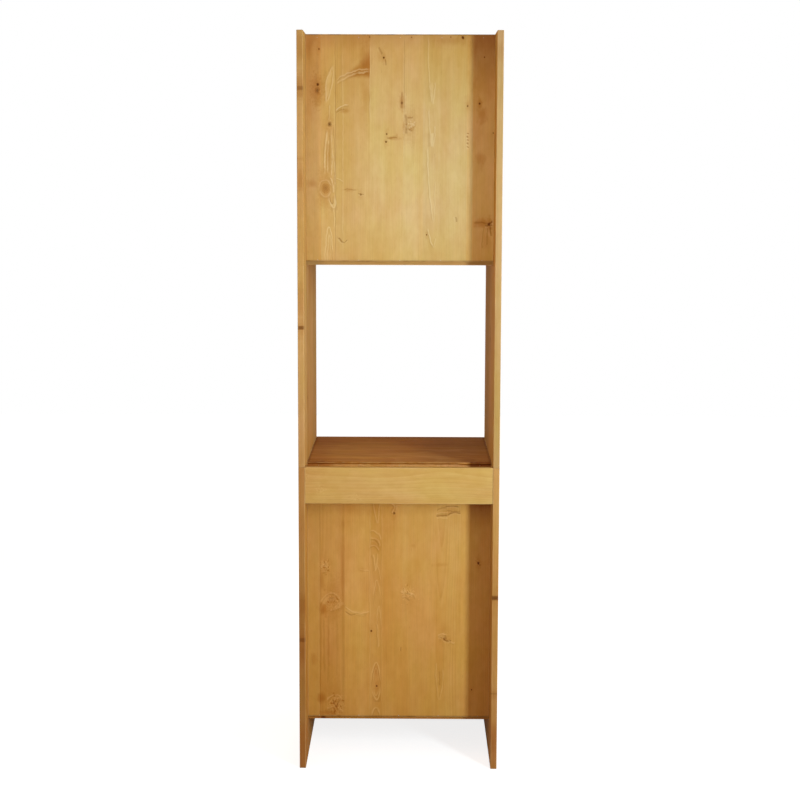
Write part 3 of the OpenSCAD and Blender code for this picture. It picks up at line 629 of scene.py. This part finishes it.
# Front plinth
# Pine board that closes the leg space under the lower door.
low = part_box("front_plinth")[0]
pine("front_plinth", "X", "Y", ((low.z, 0.02, 0.3, 0.96, 0.1, 0.6),), seed=51.0,
     knots=((0.06, 0.11, 0.007, 0.6, 0.6, 0.8),))

# Upper sides
# Two more boards like the lower ones, dowelled on top of them and open between the cupboards.
def niche_shade(fig, color, across, along):
    """Painted shade on the inner faces towards the front, the right one more."""
    where = fig.parts(fig.where())[0]
    inner = fig.fade(abs(where), 0.286, 0.283)
    share = inner * fig.fade(across, -0.22, 0.24) * (where > 0.0).scaled(0.7, 0.3)
    color = fig.tint(color, (0.72, 0.67, 0.7), share)
    return front_arris_shade(fig, color, across, along)


side_board("upper_side_left", 61, edge=(0.84, 0.86, 1.03), extra=niche_shade,
           knots=((AT_REAR, 2046, 6, 0.5, 0.7, 0.0), (AT_REAR, 1347, 6, 0.8, 0.4, 0.0),
                  (50, 1620, 10, 0.8, 0.6, 0.6), (-160, 1120, 8, 0.5, 0.7, 1.0)),
           smudges=((AT_REAR, 2160, 30, 70, 0.7), (AT_REAR, 1790, 30, 60, 0.7),
                    (AT_REAR, 1430, 30, 80, 0.5), (40, 1480, 340, 100, 0.4)),
           wash=((0.93, (0.88, 0.72, 0.54)), (1.6, (0.94, 0.84, 0.72)), (2.212, (0.9, 0.8, 0.68))))
side_board("upper_side_right", 66, edge=(0.77, 0.94, 1.42), extra=niche_shade,
           knots=((110, 1810, 11, 0.8, 0.6, 0.5), (-50, 1290, 9, 0.7, 0.6, 0.8),
                  (220, 2080, 8, 0.8, 0.5, 0.5)),
           smudges=((AT_REAR, 2150, 30, 60, 0.4),),
           wash=((0.93, (0.96, 0.84, 0.66)), (1.6, (0.96, 0.84, 0.68)), (2.212, (0.92, 0.8, 0.64))))

# Upper bottom and top boards
# Pine boards dowelled between the upper sides, like those of the lower cupboard.
for node, seed in (("upper_bottom_board", 71), ("upper_top_board", 72)):
    level_board(node, 0.1, seed, ((150, -110, 9, 0.7, 0.6, 0.6), (360, 160, 8, 0.6, 0.6, 0.8)),
                light=0.9, warmth=0.35, edge=(0.74, 0.76, 0.82))

# Upper back panel
# The same kind of panel as the lower one, in paler wood with more knots, and with a branch that
# the saw cut lengthwise.
# The last stave, from 216 mm, lies in the right side's shadow; its greater lightness is painted light there
UPPER_STAVES = in_metres(3, (
    (-300, -200, -280, 0.95, 0.26, 0.2), (-236, -211, -252, 0.91, -0.24, 0.2),
    (-194, -50, -250, 0.87, -0.2, 0.15), (-90, -160, -260, 0.89, -0.5, 0.15),
    (9, 300, -250, 0.88, -0.6, 0.15), (68, 96, -252, 0.835, -0.55, 0.2), (120, 300, -250, 0.83, -0.6, 0.2),
    (199, 400, -250, 0.86, -0.25, 0.2), (216, 400, -250, 1.05, 0.05, 0.2),
))
UPPER_KNOTS = in_metres(3, (
    (-241, 2166, 3, 0.6, 0.4, 0.0), (-245, 2062, 4, 0.9, 0.5, 0.0), (-246, 2045, 8, 0.4, 0.9, 0.5),
    (-210, 1946, 6, 0.6, 0.5, 0.6), (-49, 2141, 3, 1.0, 0.5, 0.0), (5, 2009, 4, 0.5, 0.7, 0.0),
    (30, 1944, 9, 0.0, 0.4, 0.6), (-40, 1917, 3, 0.7, 0.4, 0.6), (-42, 1894, 3, 0.9, 0.4, 0.6),
    (185, 2200, 4, 1.0, 0.4, 0.0), (200, 2000, 3, 0.7, 0.4, 0.5), (236, 2007, 3, 1.0, 0.8, 0.0),
    (249, 2143, 2, 0.9, 0.3, 0.0), (80, 1619, 2, 1.0, 0.4, 0.0), (-222, 1757, 10, 0.15, 0.6, 0.0),
    (267, 1650, 4, 0.7, 0.9, 0.0), (277, 1921, 2, 0.8, 0.2, 0.0), (-91, 2201, 2, 0.6, 0.3, 0.0),
    (33, 2200, 2, 0.6, 0.2, 0.0), (149, 2201, 2, 0.6, 0.2, 0.0), (-117, 1738, 3, 0.5, 0.3, 0.5),
))
UPPER_STROKES = in_metres(6, (
    (-199, 2118, -218, 2012, -10, 5, 0.9), (-199, 2118, -216, 2014, 6, 4, 0.8),
    (-207, 2104, -216, 2024, -3, 14, 0.5), (-209, 2005, -212, 1956, 1, 4, 0.6),
    (-216, 1930, -224, 1800, -3, 5, 0.9), (-206, 1930, -205, 1790, 3, 4, 0.7),
    (-213, 1900, -217, 1800, -1, 4, 0.7), (-210, 1920, -211, 1800, 0, 6, -0.25),
    (-199, 1940, -196, 1770, 3, 4, -0.3), (-200, 1860, -195, 1760, 3, 4, 0.6),
    (-243, 1758, -203, 1765, 18, 5, 0.5), (-241, 1750, -205, 1746, -16, 6, 0.6),
    (-207, 1788, -199, 1742, 3, 5, 0.8), (-214, 1728, -193, 1732, -32, 5, 0.9),
    (-209, 1728, -198, 1728, -17, 4, -0.45), (-197, 1730, -196, 1640, 0, 4, 0.6),
    (-225, 1543, -199, 1543, 98, 4, 0.9), (-217, 1543, -206, 1543, 70, 4, 0.6),
    (-193, 2205, -193, 1541, 1, 3, -0.3), (-171, 2190, -171, 1560, 1, 4, 0.35),
    (-90, 2180, -90, 1960, 0, 3, 0.6), (12, 2200, 12, 1975, 0, 3, -0.25),
    (-190, 2076, -91, 2106, 10, 6, 0.75), (-190, 2065, -91, 2100, 10, 6, 0.75),
    (-188, 2072, -120, 2098, 9, 3, -0.35), (-191, 1987, -153, 2001, 3, 5, 0.9),
    (-190, 1979, -165, 1988, 2, 4, -0.35), (-190, 1788, -168, 1778, 1, 5, 0.5),
    (-168, 1752, -130, 1752, 1, 4, -0.25), (-126, 1740, -108, 1738, 0, 4, -0.4),
    (-184, 1607, -167, 1594, -1, 5, -0.6), (-167, 1593, -157, 1601, 0, 4, -0.5),
    (-64, 2170, -53, 2150, 0, 6, -0.35), (-46, 2136, -41, 2120, 0, 5, -0.4), (5, 2040, 4, 1992, 0, 8, -0.3),
    (15, 1975, 18, 1915, 2, 8, -0.4), (20, 1964, 38, 1968, 0, 6, -0.4), (22, 1932, 36, 1926, 0, 6, -0.35),
    (22, 1950, 44, 1940, 3, 6, 0.7), (26, 1934, 44, 1956, -3, 5, 0.6), (32, 1958, 35, 1934, 0, 5, 0.5),
    (-40, 1906, -8, 1908, 1, 7, -0.35), (83, 2200, 95, 2005, -4, 4, 0.7), (103, 2070, 97, 2005, 2, 4, 0.7),
    (94, 2070, 96, 2012, 0, 10, 0.5), (86, 1990, 94, 1880, -2, 4, 0.6), (104, 1940, 97, 1878, 2, 4, 0.6),
    (95, 1918, 96, 1882, 0, 11, 0.7), (82, 1880, 100, 1655, -4, 4, 0.8), (105, 1780, 102, 1655, 1, 3, 0.5),
    (83, 1640, 102, 1575, -2, 4, 0.9), (107, 1610, 103, 1577, 0, 4, 0.5),
    (199, 1919, 205, 1916, 0, 5, -0.6), (198, 1909, 204, 1906, 0, 5, -0.6),
    (199, 1900, 205, 1897, 0, 5, -0.6), (198, 1890, 204, 1887, 0, 5, -0.6),
    (199, 1880, 205, 1877, 0, 5, -0.5), (166, 1669, 169, 1655, 1, 6, -0.45),
    (222, 1655, 262, 1652, 2, 9, -0.35), (262, 1652, 277, 1658, 0, 7, -0.8),
    (254, 1645, 277, 1649, 0, 6, -0.7), (270, 1650, 273, 1612, 0, 6, -0.5),
    (262, 1640, 260, 1590, 0, 4, -0.3), (250, 1640, 246, 1580, 0, 4, -0.25),
))
# The smudges at 250 mm across, by 2190 and 2080 mm, are painted shade in the right side's shadow
UPPER_SMUDGES = in_metres(4, (
    (-165, 1985, 28, 12, 0.7), (-105, 2140, 30, 60, 0.45), (-100, 2030, 22, 60, 0.4),
    (12, 1942, 8, 40, 0.9), (30, 1966, 14, 8, 0.6), (245, 1977, 24, 34, 0.8), (240, 1846, 22, 30, 0.6),
    (246, 1652, 36, 18, 1.0), (-150, 1752, 30, 6, 0.6), (-22, 1905, 24, 8, 0.9), (-262, 1770, 24, 20, 0.6),
    (250, 2190, 60, 80, 0.6), (-246, 2040, 20, 40, 0.7), (-215, 1850, 10, 60, 0.5),
    (-270, 2170, 20, 50, 0.5), (-56, 2150, 14, 26, 0.4), (262, 1600, 16, 40, 0.4), (150, 2190, 60, 16, 0.4),
    (250, 2080, 50, 110, 0.45),
))


def cut_branch(fig, color, across, along):
    """Brown wood beside a branch cut lengthwise across the third stave, painted shade in the top right
    corner, a ring knot.
    """
    start, end, foot, rise = -0.194, -0.09, 2.066, 0.037
    ring_across, ring_along = -0.222, 1.756
    t = (across - start) / (end - start)
    bow = 1.0 - fig.calc("POWER", 1.0 - fig.least(t, 1.0), 2.2)
    off = along - foot - bow * rise
    ragged = fig.cloud(across * 60.0, along * 60.0, 1.0)
    off = (ragged - 0.5).scaled(0.008, off)
    inside = (t > 0.0) * (t < 1.0)
    over = off / fig.calc("POWER", fig.most(t, 0.0), 3.0).scaled(0.075, 0.01)
    under = -off / t.scaled(0.024, 0.006)
    brown = fig.most(fig.fade(over, 1.0, 0.2) * (over > 0.0),
                     fig.fade(under, 1.0, 0.3) * (under > 0.0))
    brown = brown * inside * fig.fade(t, 0.15, 0.75)
    color = fig.tint(color, KNOT_SHADE, brown)
    # Painted shade in the right side's shadow, near the top
    corner = fig.fade(across, 0.207, 0.222) * fig.fade(along, 2.02, 2.17)
    color = fig.tint(color, (0.78, 0.75, 0.9), corner)
    ring = ragged.scaled(0.004, fig.distance(across - ring_across, (along - ring_along) / 1.15))
    rings = fig.fade(fig.calc("SINE", ring * 1500.0), -0.6, 0.9)
    rings = rings.scaled(0.5, 0.5) * fig.fade(ring, 0.016, 0.013)
    return fig.tint(color, KNOT_SHADE, rings * 0.55)


# In its wash, the darkening towards the top and on the top arris is painted shade
pine("upper_back_panel", "Z", "Y", UPPER_STAVES, UPPER_KNOTS, UPPER_SMUDGES, seed=81.0,
     strokes=UPPER_STROKES, extra=cut_branch,
     wash=((1.539, (0.5, 0.42, 0.34)), (1.544, (0.91, 0.87, 0.79)), (1.64, (0.94, 0.94, 0.94)),
           (1.8, (0.96, 0.97, 1.06)), (2.0, (0.945, 0.915, 0.93)), (2.16, (0.91, 0.79, 0.66)),
           (2.205, (0.8, 0.63, 0.52)), (2.209, (0.45, 0.36, 0.28))))

# Adjustable shelves
# One loose pine board in each cupboard.
for node, seed in (("lower_shelf", 91), ("upper_shelf", 92)):
    level_board(node, 0.09, seed, ((100, 100, 8, 0.7, 0.6, 0.6), (300, -150, 9, 0.5, 0.6, 0.9)))

# Doors
# Framed doors of the same pine: two stiles, two rails tenoned into them, and a raised panel that
# lies loose in their grooves.
FRAME_PIECES = (("hinge_stile", "Z", -0.09), ("lock_stile", "Z", 0.15), ("top_rail", "X", -0.09),
                ("bottom_rail", "X", 0.15))
for level, seed in (("lower", 101), ("upper", 121)):
    for number, (part, grain, pith) in enumerate(FRAME_PIECES):
        node = level + "_door_" + part
        low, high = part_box(node)
        start = low.x if grain == "Z" else low.z
        middle = (low + high) / 2
        spot = (middle.x, middle.z + 0.13) if grain == "Z" else (middle.z, middle.x - 0.12)
        pine(node, grain, "Y", ((start, start + pith, 0.22, 1.0, 0.05 * number, 0.5),),
             seed=seed + number, knots=((*spot, 0.006, 0.7, 0.6, 0.7),))
    node = level + "_door_panel"
    low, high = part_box(node)
    middle = (low + high) / 2
    pine(node, "Z", "Y", glued_staves(low.x, high.x, 0.1, seed + 5), seed=seed + 6,
         knots=((middle.x - 0.09, middle.z + 0.12, 0.01, 0.7, 0.6, 0.8),
                (middle.x + 0.06, middle.z - 0.14, 0.012, 0.5, 0.7, 1.2)))

# Knobs
# Turned from pine with the grain across, fixed by a screw from inside the door.
for level, seed in (("lower", 141), ("upper", 142)):
    node = level + "_knob"
    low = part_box(node)[0]
    pine(node, "Z", "Y", ((low.x, low.x - 0.02, 0.31, 0.96, 0.2, 0.7),), seed=seed, ring_width=0.003)

# Dowels
# Beech rods in the joints of the boards and between the lower and the upper sides.
beech, fig = new_material("beech")
fleck = fig.noise(fig.where(), 900.0)
color = fig.ramp(fleck, ((0.35, (0.66, 0.47, 0.28)), (0.65, (0.74, 0.56, 0.37))))
fig.surface({"Base Color": color, "Roughness": 0.7})
coat(["lower_carcass_dowels", "upper_carcass_dowels", "stacking_dowels"], beech)

# Hinges
# Brass butt hinges, let into the side and into the door. The wood screws are turned from brass
# rod, countersunk and slotted.
def metal(name, dark, bright, tarnish, roughness):
    """A drawn or rolled metal with fine scratches, and dulled in patches."""
    material, fig = new_material(name)
    place = fig.parts(fig.where())
    at = fig.vector(*place)
    cloud = fig.noise(at, 90.0, 4.0, 0.6)
    line = fig.cloud(place[0] * 1700.0, place[1] * 1700.0, place[2] * 60.0)
    dull = fig.fade(fig.noise(at, 260.0, 3.0, 0.65), 0.5, 0.68)
    color = fig.mix(dull * 0.7, fig.ramp(cloud, ((0.3, dark), (0.7, bright))), tarnish)
    rough = line.scaled(0.18, dull.scaled(0.2, roughness))
    fig.surface({"Base Color": color, "Roughness": rough, "Normal": fig.bump(line, 0.2, 0.0001),
                 "Metallic": 1.0})
    return material


def screw_tree():
    """A wood screw at each point: turned head with a sawn slot, plain neck, coiled thread, tip."""
    tree = bpy.data.node_groups.new("Slotted screw", "GeometryNodeTree")
    face = tree.interface
    face.new_socket("Heads", in_out="INPUT", socket_type="NodeSocketGeometry")
    for name, value in (("Face radius", 0.0029), ("Back radius", 0.0015), ("Head depth", 0.0018),
                        ("Shank radius", 0.0015), ("Length", 0.0139), ("Neck", 0.005), ("Pitch", 0.0011),
                        ("Slot width", 0.0007), ("Slot depth", 0.0008)):
        face.new_socket(name, in_out="INPUT", socket_type="NodeSocketFloat").default_value = value
    face.new_socket("Turn", in_out="INPUT", socket_type="NodeSocketVector")
    face.new_socket("Metal", in_out="INPUT", socket_type="NodeSocketMaterial")
    face.new_socket("Screws", in_out="OUTPUT", socket_type="NodeSocketGeometry")
    fig = Figure(tree)
    size = fig.outs(fig.node("NodeGroupInput"))
    rod = fig.add("GeometryNodeMeshCylinder", {"Vertices": 28, "Side Segments": 60, "Radius": 1.0,
                                               "Depth": size["Length"]})
    where = fig.parts(fig.add("GeometryNodeInputPosition"))
    deep = size["Length"].scaled(0.5, where[2])
    head = deep < size["Head depth"]
    taper = deep / size["Head depth"]
    cone = taper.scaled(size["Back radius"] - size["Face radius"], size["Face radius"])
    around = fig.calc("ARCTAN2", where[1], where[0]) / (2 * math.pi)
    coil = fig.calc("PINGPONG", deep / size["Pitch"] + around, 0.5)
    cut = (deep > size["Neck"]) * 0.5
    tip = fig.least(fig.most((size["Length"] - deep) / 0.0035, 0.05), 1.0)
    shank = (1.0 - cut * coil) * (tip * size["Shank radius"])
    radius = head.scaled(cone - shank, shank)
    place = fig.vector(where[0] * radius, where[1] * radius, deep)
    screw = fig.add("GeometryNodeSetPosition", {"Geometry": rod, "Position": place})
    blade = fig.vector(size["Slot width"], size["Face radius"] * 2.4, size["Slot depth"] * 2.0)
    slot = fig.add("GeometryNodeMeshCube", {"Size": blade})
    screw = fig.add("GeometryNodeMeshBoolean", {"Mesh 1": screw, "Mesh 2": slot}, operation="DIFFERENCE",
                    solver="EXACT")
    screws = fig.add("GeometryNodeInstanceOnPoints", {"Points": size["Heads"], "Instance": screw,
                                                      "Rotation": size["Turn"]})
    last = fig.add("FunctionNodeRandomValue", {"Seed": 7, 2: 0.0, 3: math.pi}, 1, data_type="FLOAT")
    own = fig.vector(0.0, 0.0, last)
    screws = fig.add("GeometryNodeRotateInstances", {"Instances": screws, "Rotation": own})
    screws = fig.add("GeometryNodeRealizeInstances", {"Geometry": screws})
    screws = fig.add("GeometryNodeSetMaterial", {"Geometry": screws, "Material": size["Metal"]})
    fig.put(fig.node("NodeGroupOutput").inputs[0], screws)
    return tree


SCREW = screw_tree()


def new_object(name, data):
    piece = bpy.data.objects.new(name, data)
    bpy.context.scene.collection.objects.link(piece)
    return piece


def drive_screws(node, body, slot, material, turn, **sizes):
    """Puts a slotted screw where each plain one of the CAD node is; turn lays +Z along its way in."""
    solid = bmesh.new()
    solid.from_mesh(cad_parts[node].data)
    bmesh.ops.remove_doubles(solid, verts=solid.verts, dist=1e-6)
    way = Vector((0, 0, 1))
    way.rotate(turn)
    heads, left = [], set(solid.verts)
    while left:
        found = [min(left, key=lambda vert: tuple(vert.co))]
        left.discard(found[0])
        for vert in found:
            for other in [edge.other_vert(vert) for edge in vert.link_edges]:
                if other in left:
                    left.discard(other)
                    found.append(other)
        places = [vert.co for vert in found]
        low = Vector([min(place[axis] for place in places) for axis in range(3)])
        high = Vector([max(place[axis] for place in places) for axis in range(3)])
        middle = (low + high) / 2
        reach = min((place - middle).dot(way) for place in places)
        heads.append(middle + way * reach)
    solid.free()
    mesh = bpy.data.meshes.new(node + "_slotted")
    mesh.from_pydata(heads, [], [])
    piece = new_object(node + "_slotted", mesh)
    screws = piece.modifiers.new("screws", "NODES")
    screws.node_group = SCREW
    named = {item.name: item.identifier for item in SCREW.interface.items_tree if item.in_out == "INPUT"}
    for name, value in sizes.items():
        screws[named[name.replace("_", " ").capitalize()]] = value
    screws[named["Turn"]] = tuple(turn)
    screws[named["Metal"]] = material
    seen = piece.evaluated_get(bpy.context.evaluated_depsgraph_get())
    plain = bpy.data.meshes.new_from_object(seen)
    piece.modifiers.remove(screws)
    piece.data = plain
    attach(piece, body)
    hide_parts(node)


brass = metal("brass", (0.5, 0.33, 0.11), (0.7, 0.5, 0.2), (0.24, 0.13, 0.04), 0.26)
coat([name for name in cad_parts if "leaf" in name or "hinge_pin" in name], brass)
RIGHT_ANGLE = math.pi / 2
for level in ("lower", "upper"):
    drive_screws(level + "_side_hinge_screws", "cabinet", "hinge_brass", brass, Euler((0, RIGHT_ANGLE, 0)))
    drive_screws(level + "_door_hinge_screws", level + "_door", "hinge_brass", brass,
                 Euler((0, -RIGHT_ANGLE, 0)))

# Steel fittings
# Zinc-plated shelf supports, panel pins, strike plates and magnets, and the screws of the knobs
# and of the catches.
steel = metal("zinc_steel", (0.42, 0.42, 0.42), (0.6, 0.6, 0.59), (0.26, 0.25, 0.23), 0.3)
STEEL_PARTS = ("shelf_supports", "back_pins", "strike_plate", "catch_magnet")
coat([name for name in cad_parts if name.endswith(STEEL_PARTS)], steel)
for level in ("lower", "upper"):
    drive_screws(level + "_catch_screws", "cabinet", "steel", steel, Euler((0, 0, 0)),
                 face_radius=0.0029, back_radius=0.003, head_depth=0.002, length=0.0159)
    drive_screws(level + "_knob_screw", level + "_door", "steel", steel, Euler((-RIGHT_ANGLE, 0, 0)),
                 face_radius=0.0032, back_radius=0.0042, head_depth=0.0022, shank_radius=0.00195,
                 length=0.0332, neck=0.024, slot_width=0.001, slot_depth=0.0011)

# Catch cases
# Moulded in brown plastic, screwed under the ceiling of each cupboard.
plastic, fig = new_material("brown_plastic")
where = fig.where()
grit = fig.noise(where, 2500.0)
color = fig.ramp(fig.noise(where, 90.0), ((0.3, (0.1, 0.045, 0.02)), (0.7, (0.13, 0.06, 0.028))))
fig.surface({"Base Color": color, "Normal": fig.bump(grit, 0.25, 0.0001), "Roughness": 0.45})
coat(["lower_catch_case", "upper_catch_case"], plastic)

# Floor, light and camera
# A white floor that keeps the object's shadow, a tall soft lamp on the right of the open rear and a
# weak warm one on the left, a soft lamp for the doors, and the camera where the photographer stood.
def white_as_seen(fig):
    """1 where the camera looks, straight or by a reflection, and 0 where light only bounces."""
    path = fig.outs(fig.node("ShaderNodeLightPath"))
    return fig.most(path["Is Camera Ray"], fig.most(path["Is Glossy Ray"], path["Is Transmission Ray"]))


def area_lamp(name, place, aim, size, energy, color, spread):
    """A soft rectangular lamp, turned to what it lights; its spread is in degrees."""
    light = bpy.data.lights.new(name, "AREA")
    light.shape = "RECTANGLE"
    light.size, light.size_y = size
    light.energy, light.color, light.spread = energy, color, math.radians(spread)
    lamp = new_object(name, light)
    turn = (Vector(place) - Vector(aim)).to_track_quat("Z", "Y").to_matrix().to_4x4()
    lamp.matrix_world = Matrix.Translation(place) @ turn
    return lamp


FLOOR_REACH = 7.0
FLOOR_GLOW = 0.82
corners = [(x * FLOOR_REACH, y * FLOOR_REACH, 0) for x, y in ((-1, -1), (1, -1), (1, 1), (-1, 1))]
mesh = bpy.data.meshes.new("floor")
mesh.from_pydata(corners, [], [(0, 1, 2, 3)])
floor = new_object("floor", mesh)
paper, fig = new_material("white_floor")
seen = white_as_seen(fig)
matte = fig.add("ShaderNodeBsdfDiffuse", {"Color": (0.55, 0.55, 0.55, 1.0)})
pale = fig.add("ShaderNodeBsdfDiffuse", {"Color": (0.5, 0.5, 0.5, 1.0)})
glow = fig.add("ShaderNodeEmission", {"Color": (1.0, 1.0, 1.0, 1.0), "Strength": FLOOR_GLOW})
lifted = fig.add("ShaderNodeAddShader", {0: pale, 1: glow})
blend = fig.add("ShaderNodeMixShader", {0: seen, 1: matte, 2: lifted})
fig.put(fig.tree.nodes["Material Output"].inputs["Surface"], blend)
floor.data.materials.append(paper)

AMBIENT = 0.54
ROOM_COLOR = (1.0, 0.82, 0.68)
world = bpy.data.worlds.new("room")
world.use_nodes = True
bpy.context.scene.world = world
fig = Figure(world.node_tree)
seen = white_as_seen(fig)
background = fig.tree.nodes["Background"].inputs
fig.put(background["Color"], fig.mix(seen, ROOM_COLOR, (1.0, 1.0, 1.0)))
fig.put(background["Strength"], seen.scaled(1.0 - AMBIENT, AMBIENT))

area_lamp("key_lamp", (1.65, -2.42, 1.5), aim=(0.0, -0.3, 1.5), size=(0.3, 1.5), energy=27.0,
          color=(0.8, 0.93, 1.0), spread=110.0)
area_lamp("fill_lamp", (-1.35, -3.2, 1.55), aim=(0.1, -0.3, 1.75), size=(0.5, 0.5), energy=2.3,
          color=(1.0, 0.86, 0.66), spread=48.0)
front = area_lamp("front_lamp", (-0.1, 4.8, 1.3), aim=(0.0, 0.28, 1.12), size=(1.2, 0.4), energy=19.0,
                  color=(1.0, 0.97, 0.92), spread=70.0)
front.visible_glossy = False

# The photographer stood 4.7 m behind the housing, at 1.78 m, looking down by nearly 7 degrees
LENS = 71.78
STAND = Vector((0.0378, -4.9991, 1.7814))
PITCH, YAW, ROLL = 0.1185, -0.00755, 0.00285
SHIFT_Y = -0.0375
turn = Matrix.Rotation(ROLL, 3, "Y") @ Matrix.Rotation(PITCH, 3, "X") @ Matrix.Rotation(YAW, 3, "Z")
right, ahead, above = turn[0], turn[1], turn[2]
pose = Matrix((right, above, -ahead)).transposed().to_4x4()
camera_data = bpy.data.cameras.new("camera")
camera_data.sensor_width = 36.0
camera_data.lens = LENS
camera_data.shift_y = SHIFT_Y
camera_data.clip_end = 60.0
camera = new_object("camera", camera_data)
camera.matrix_world = Matrix.Translation(STAND) @ pose
bpy.context.scene.camera = camera
bpy.context.scene.view_settings.view_transform = "Standard"
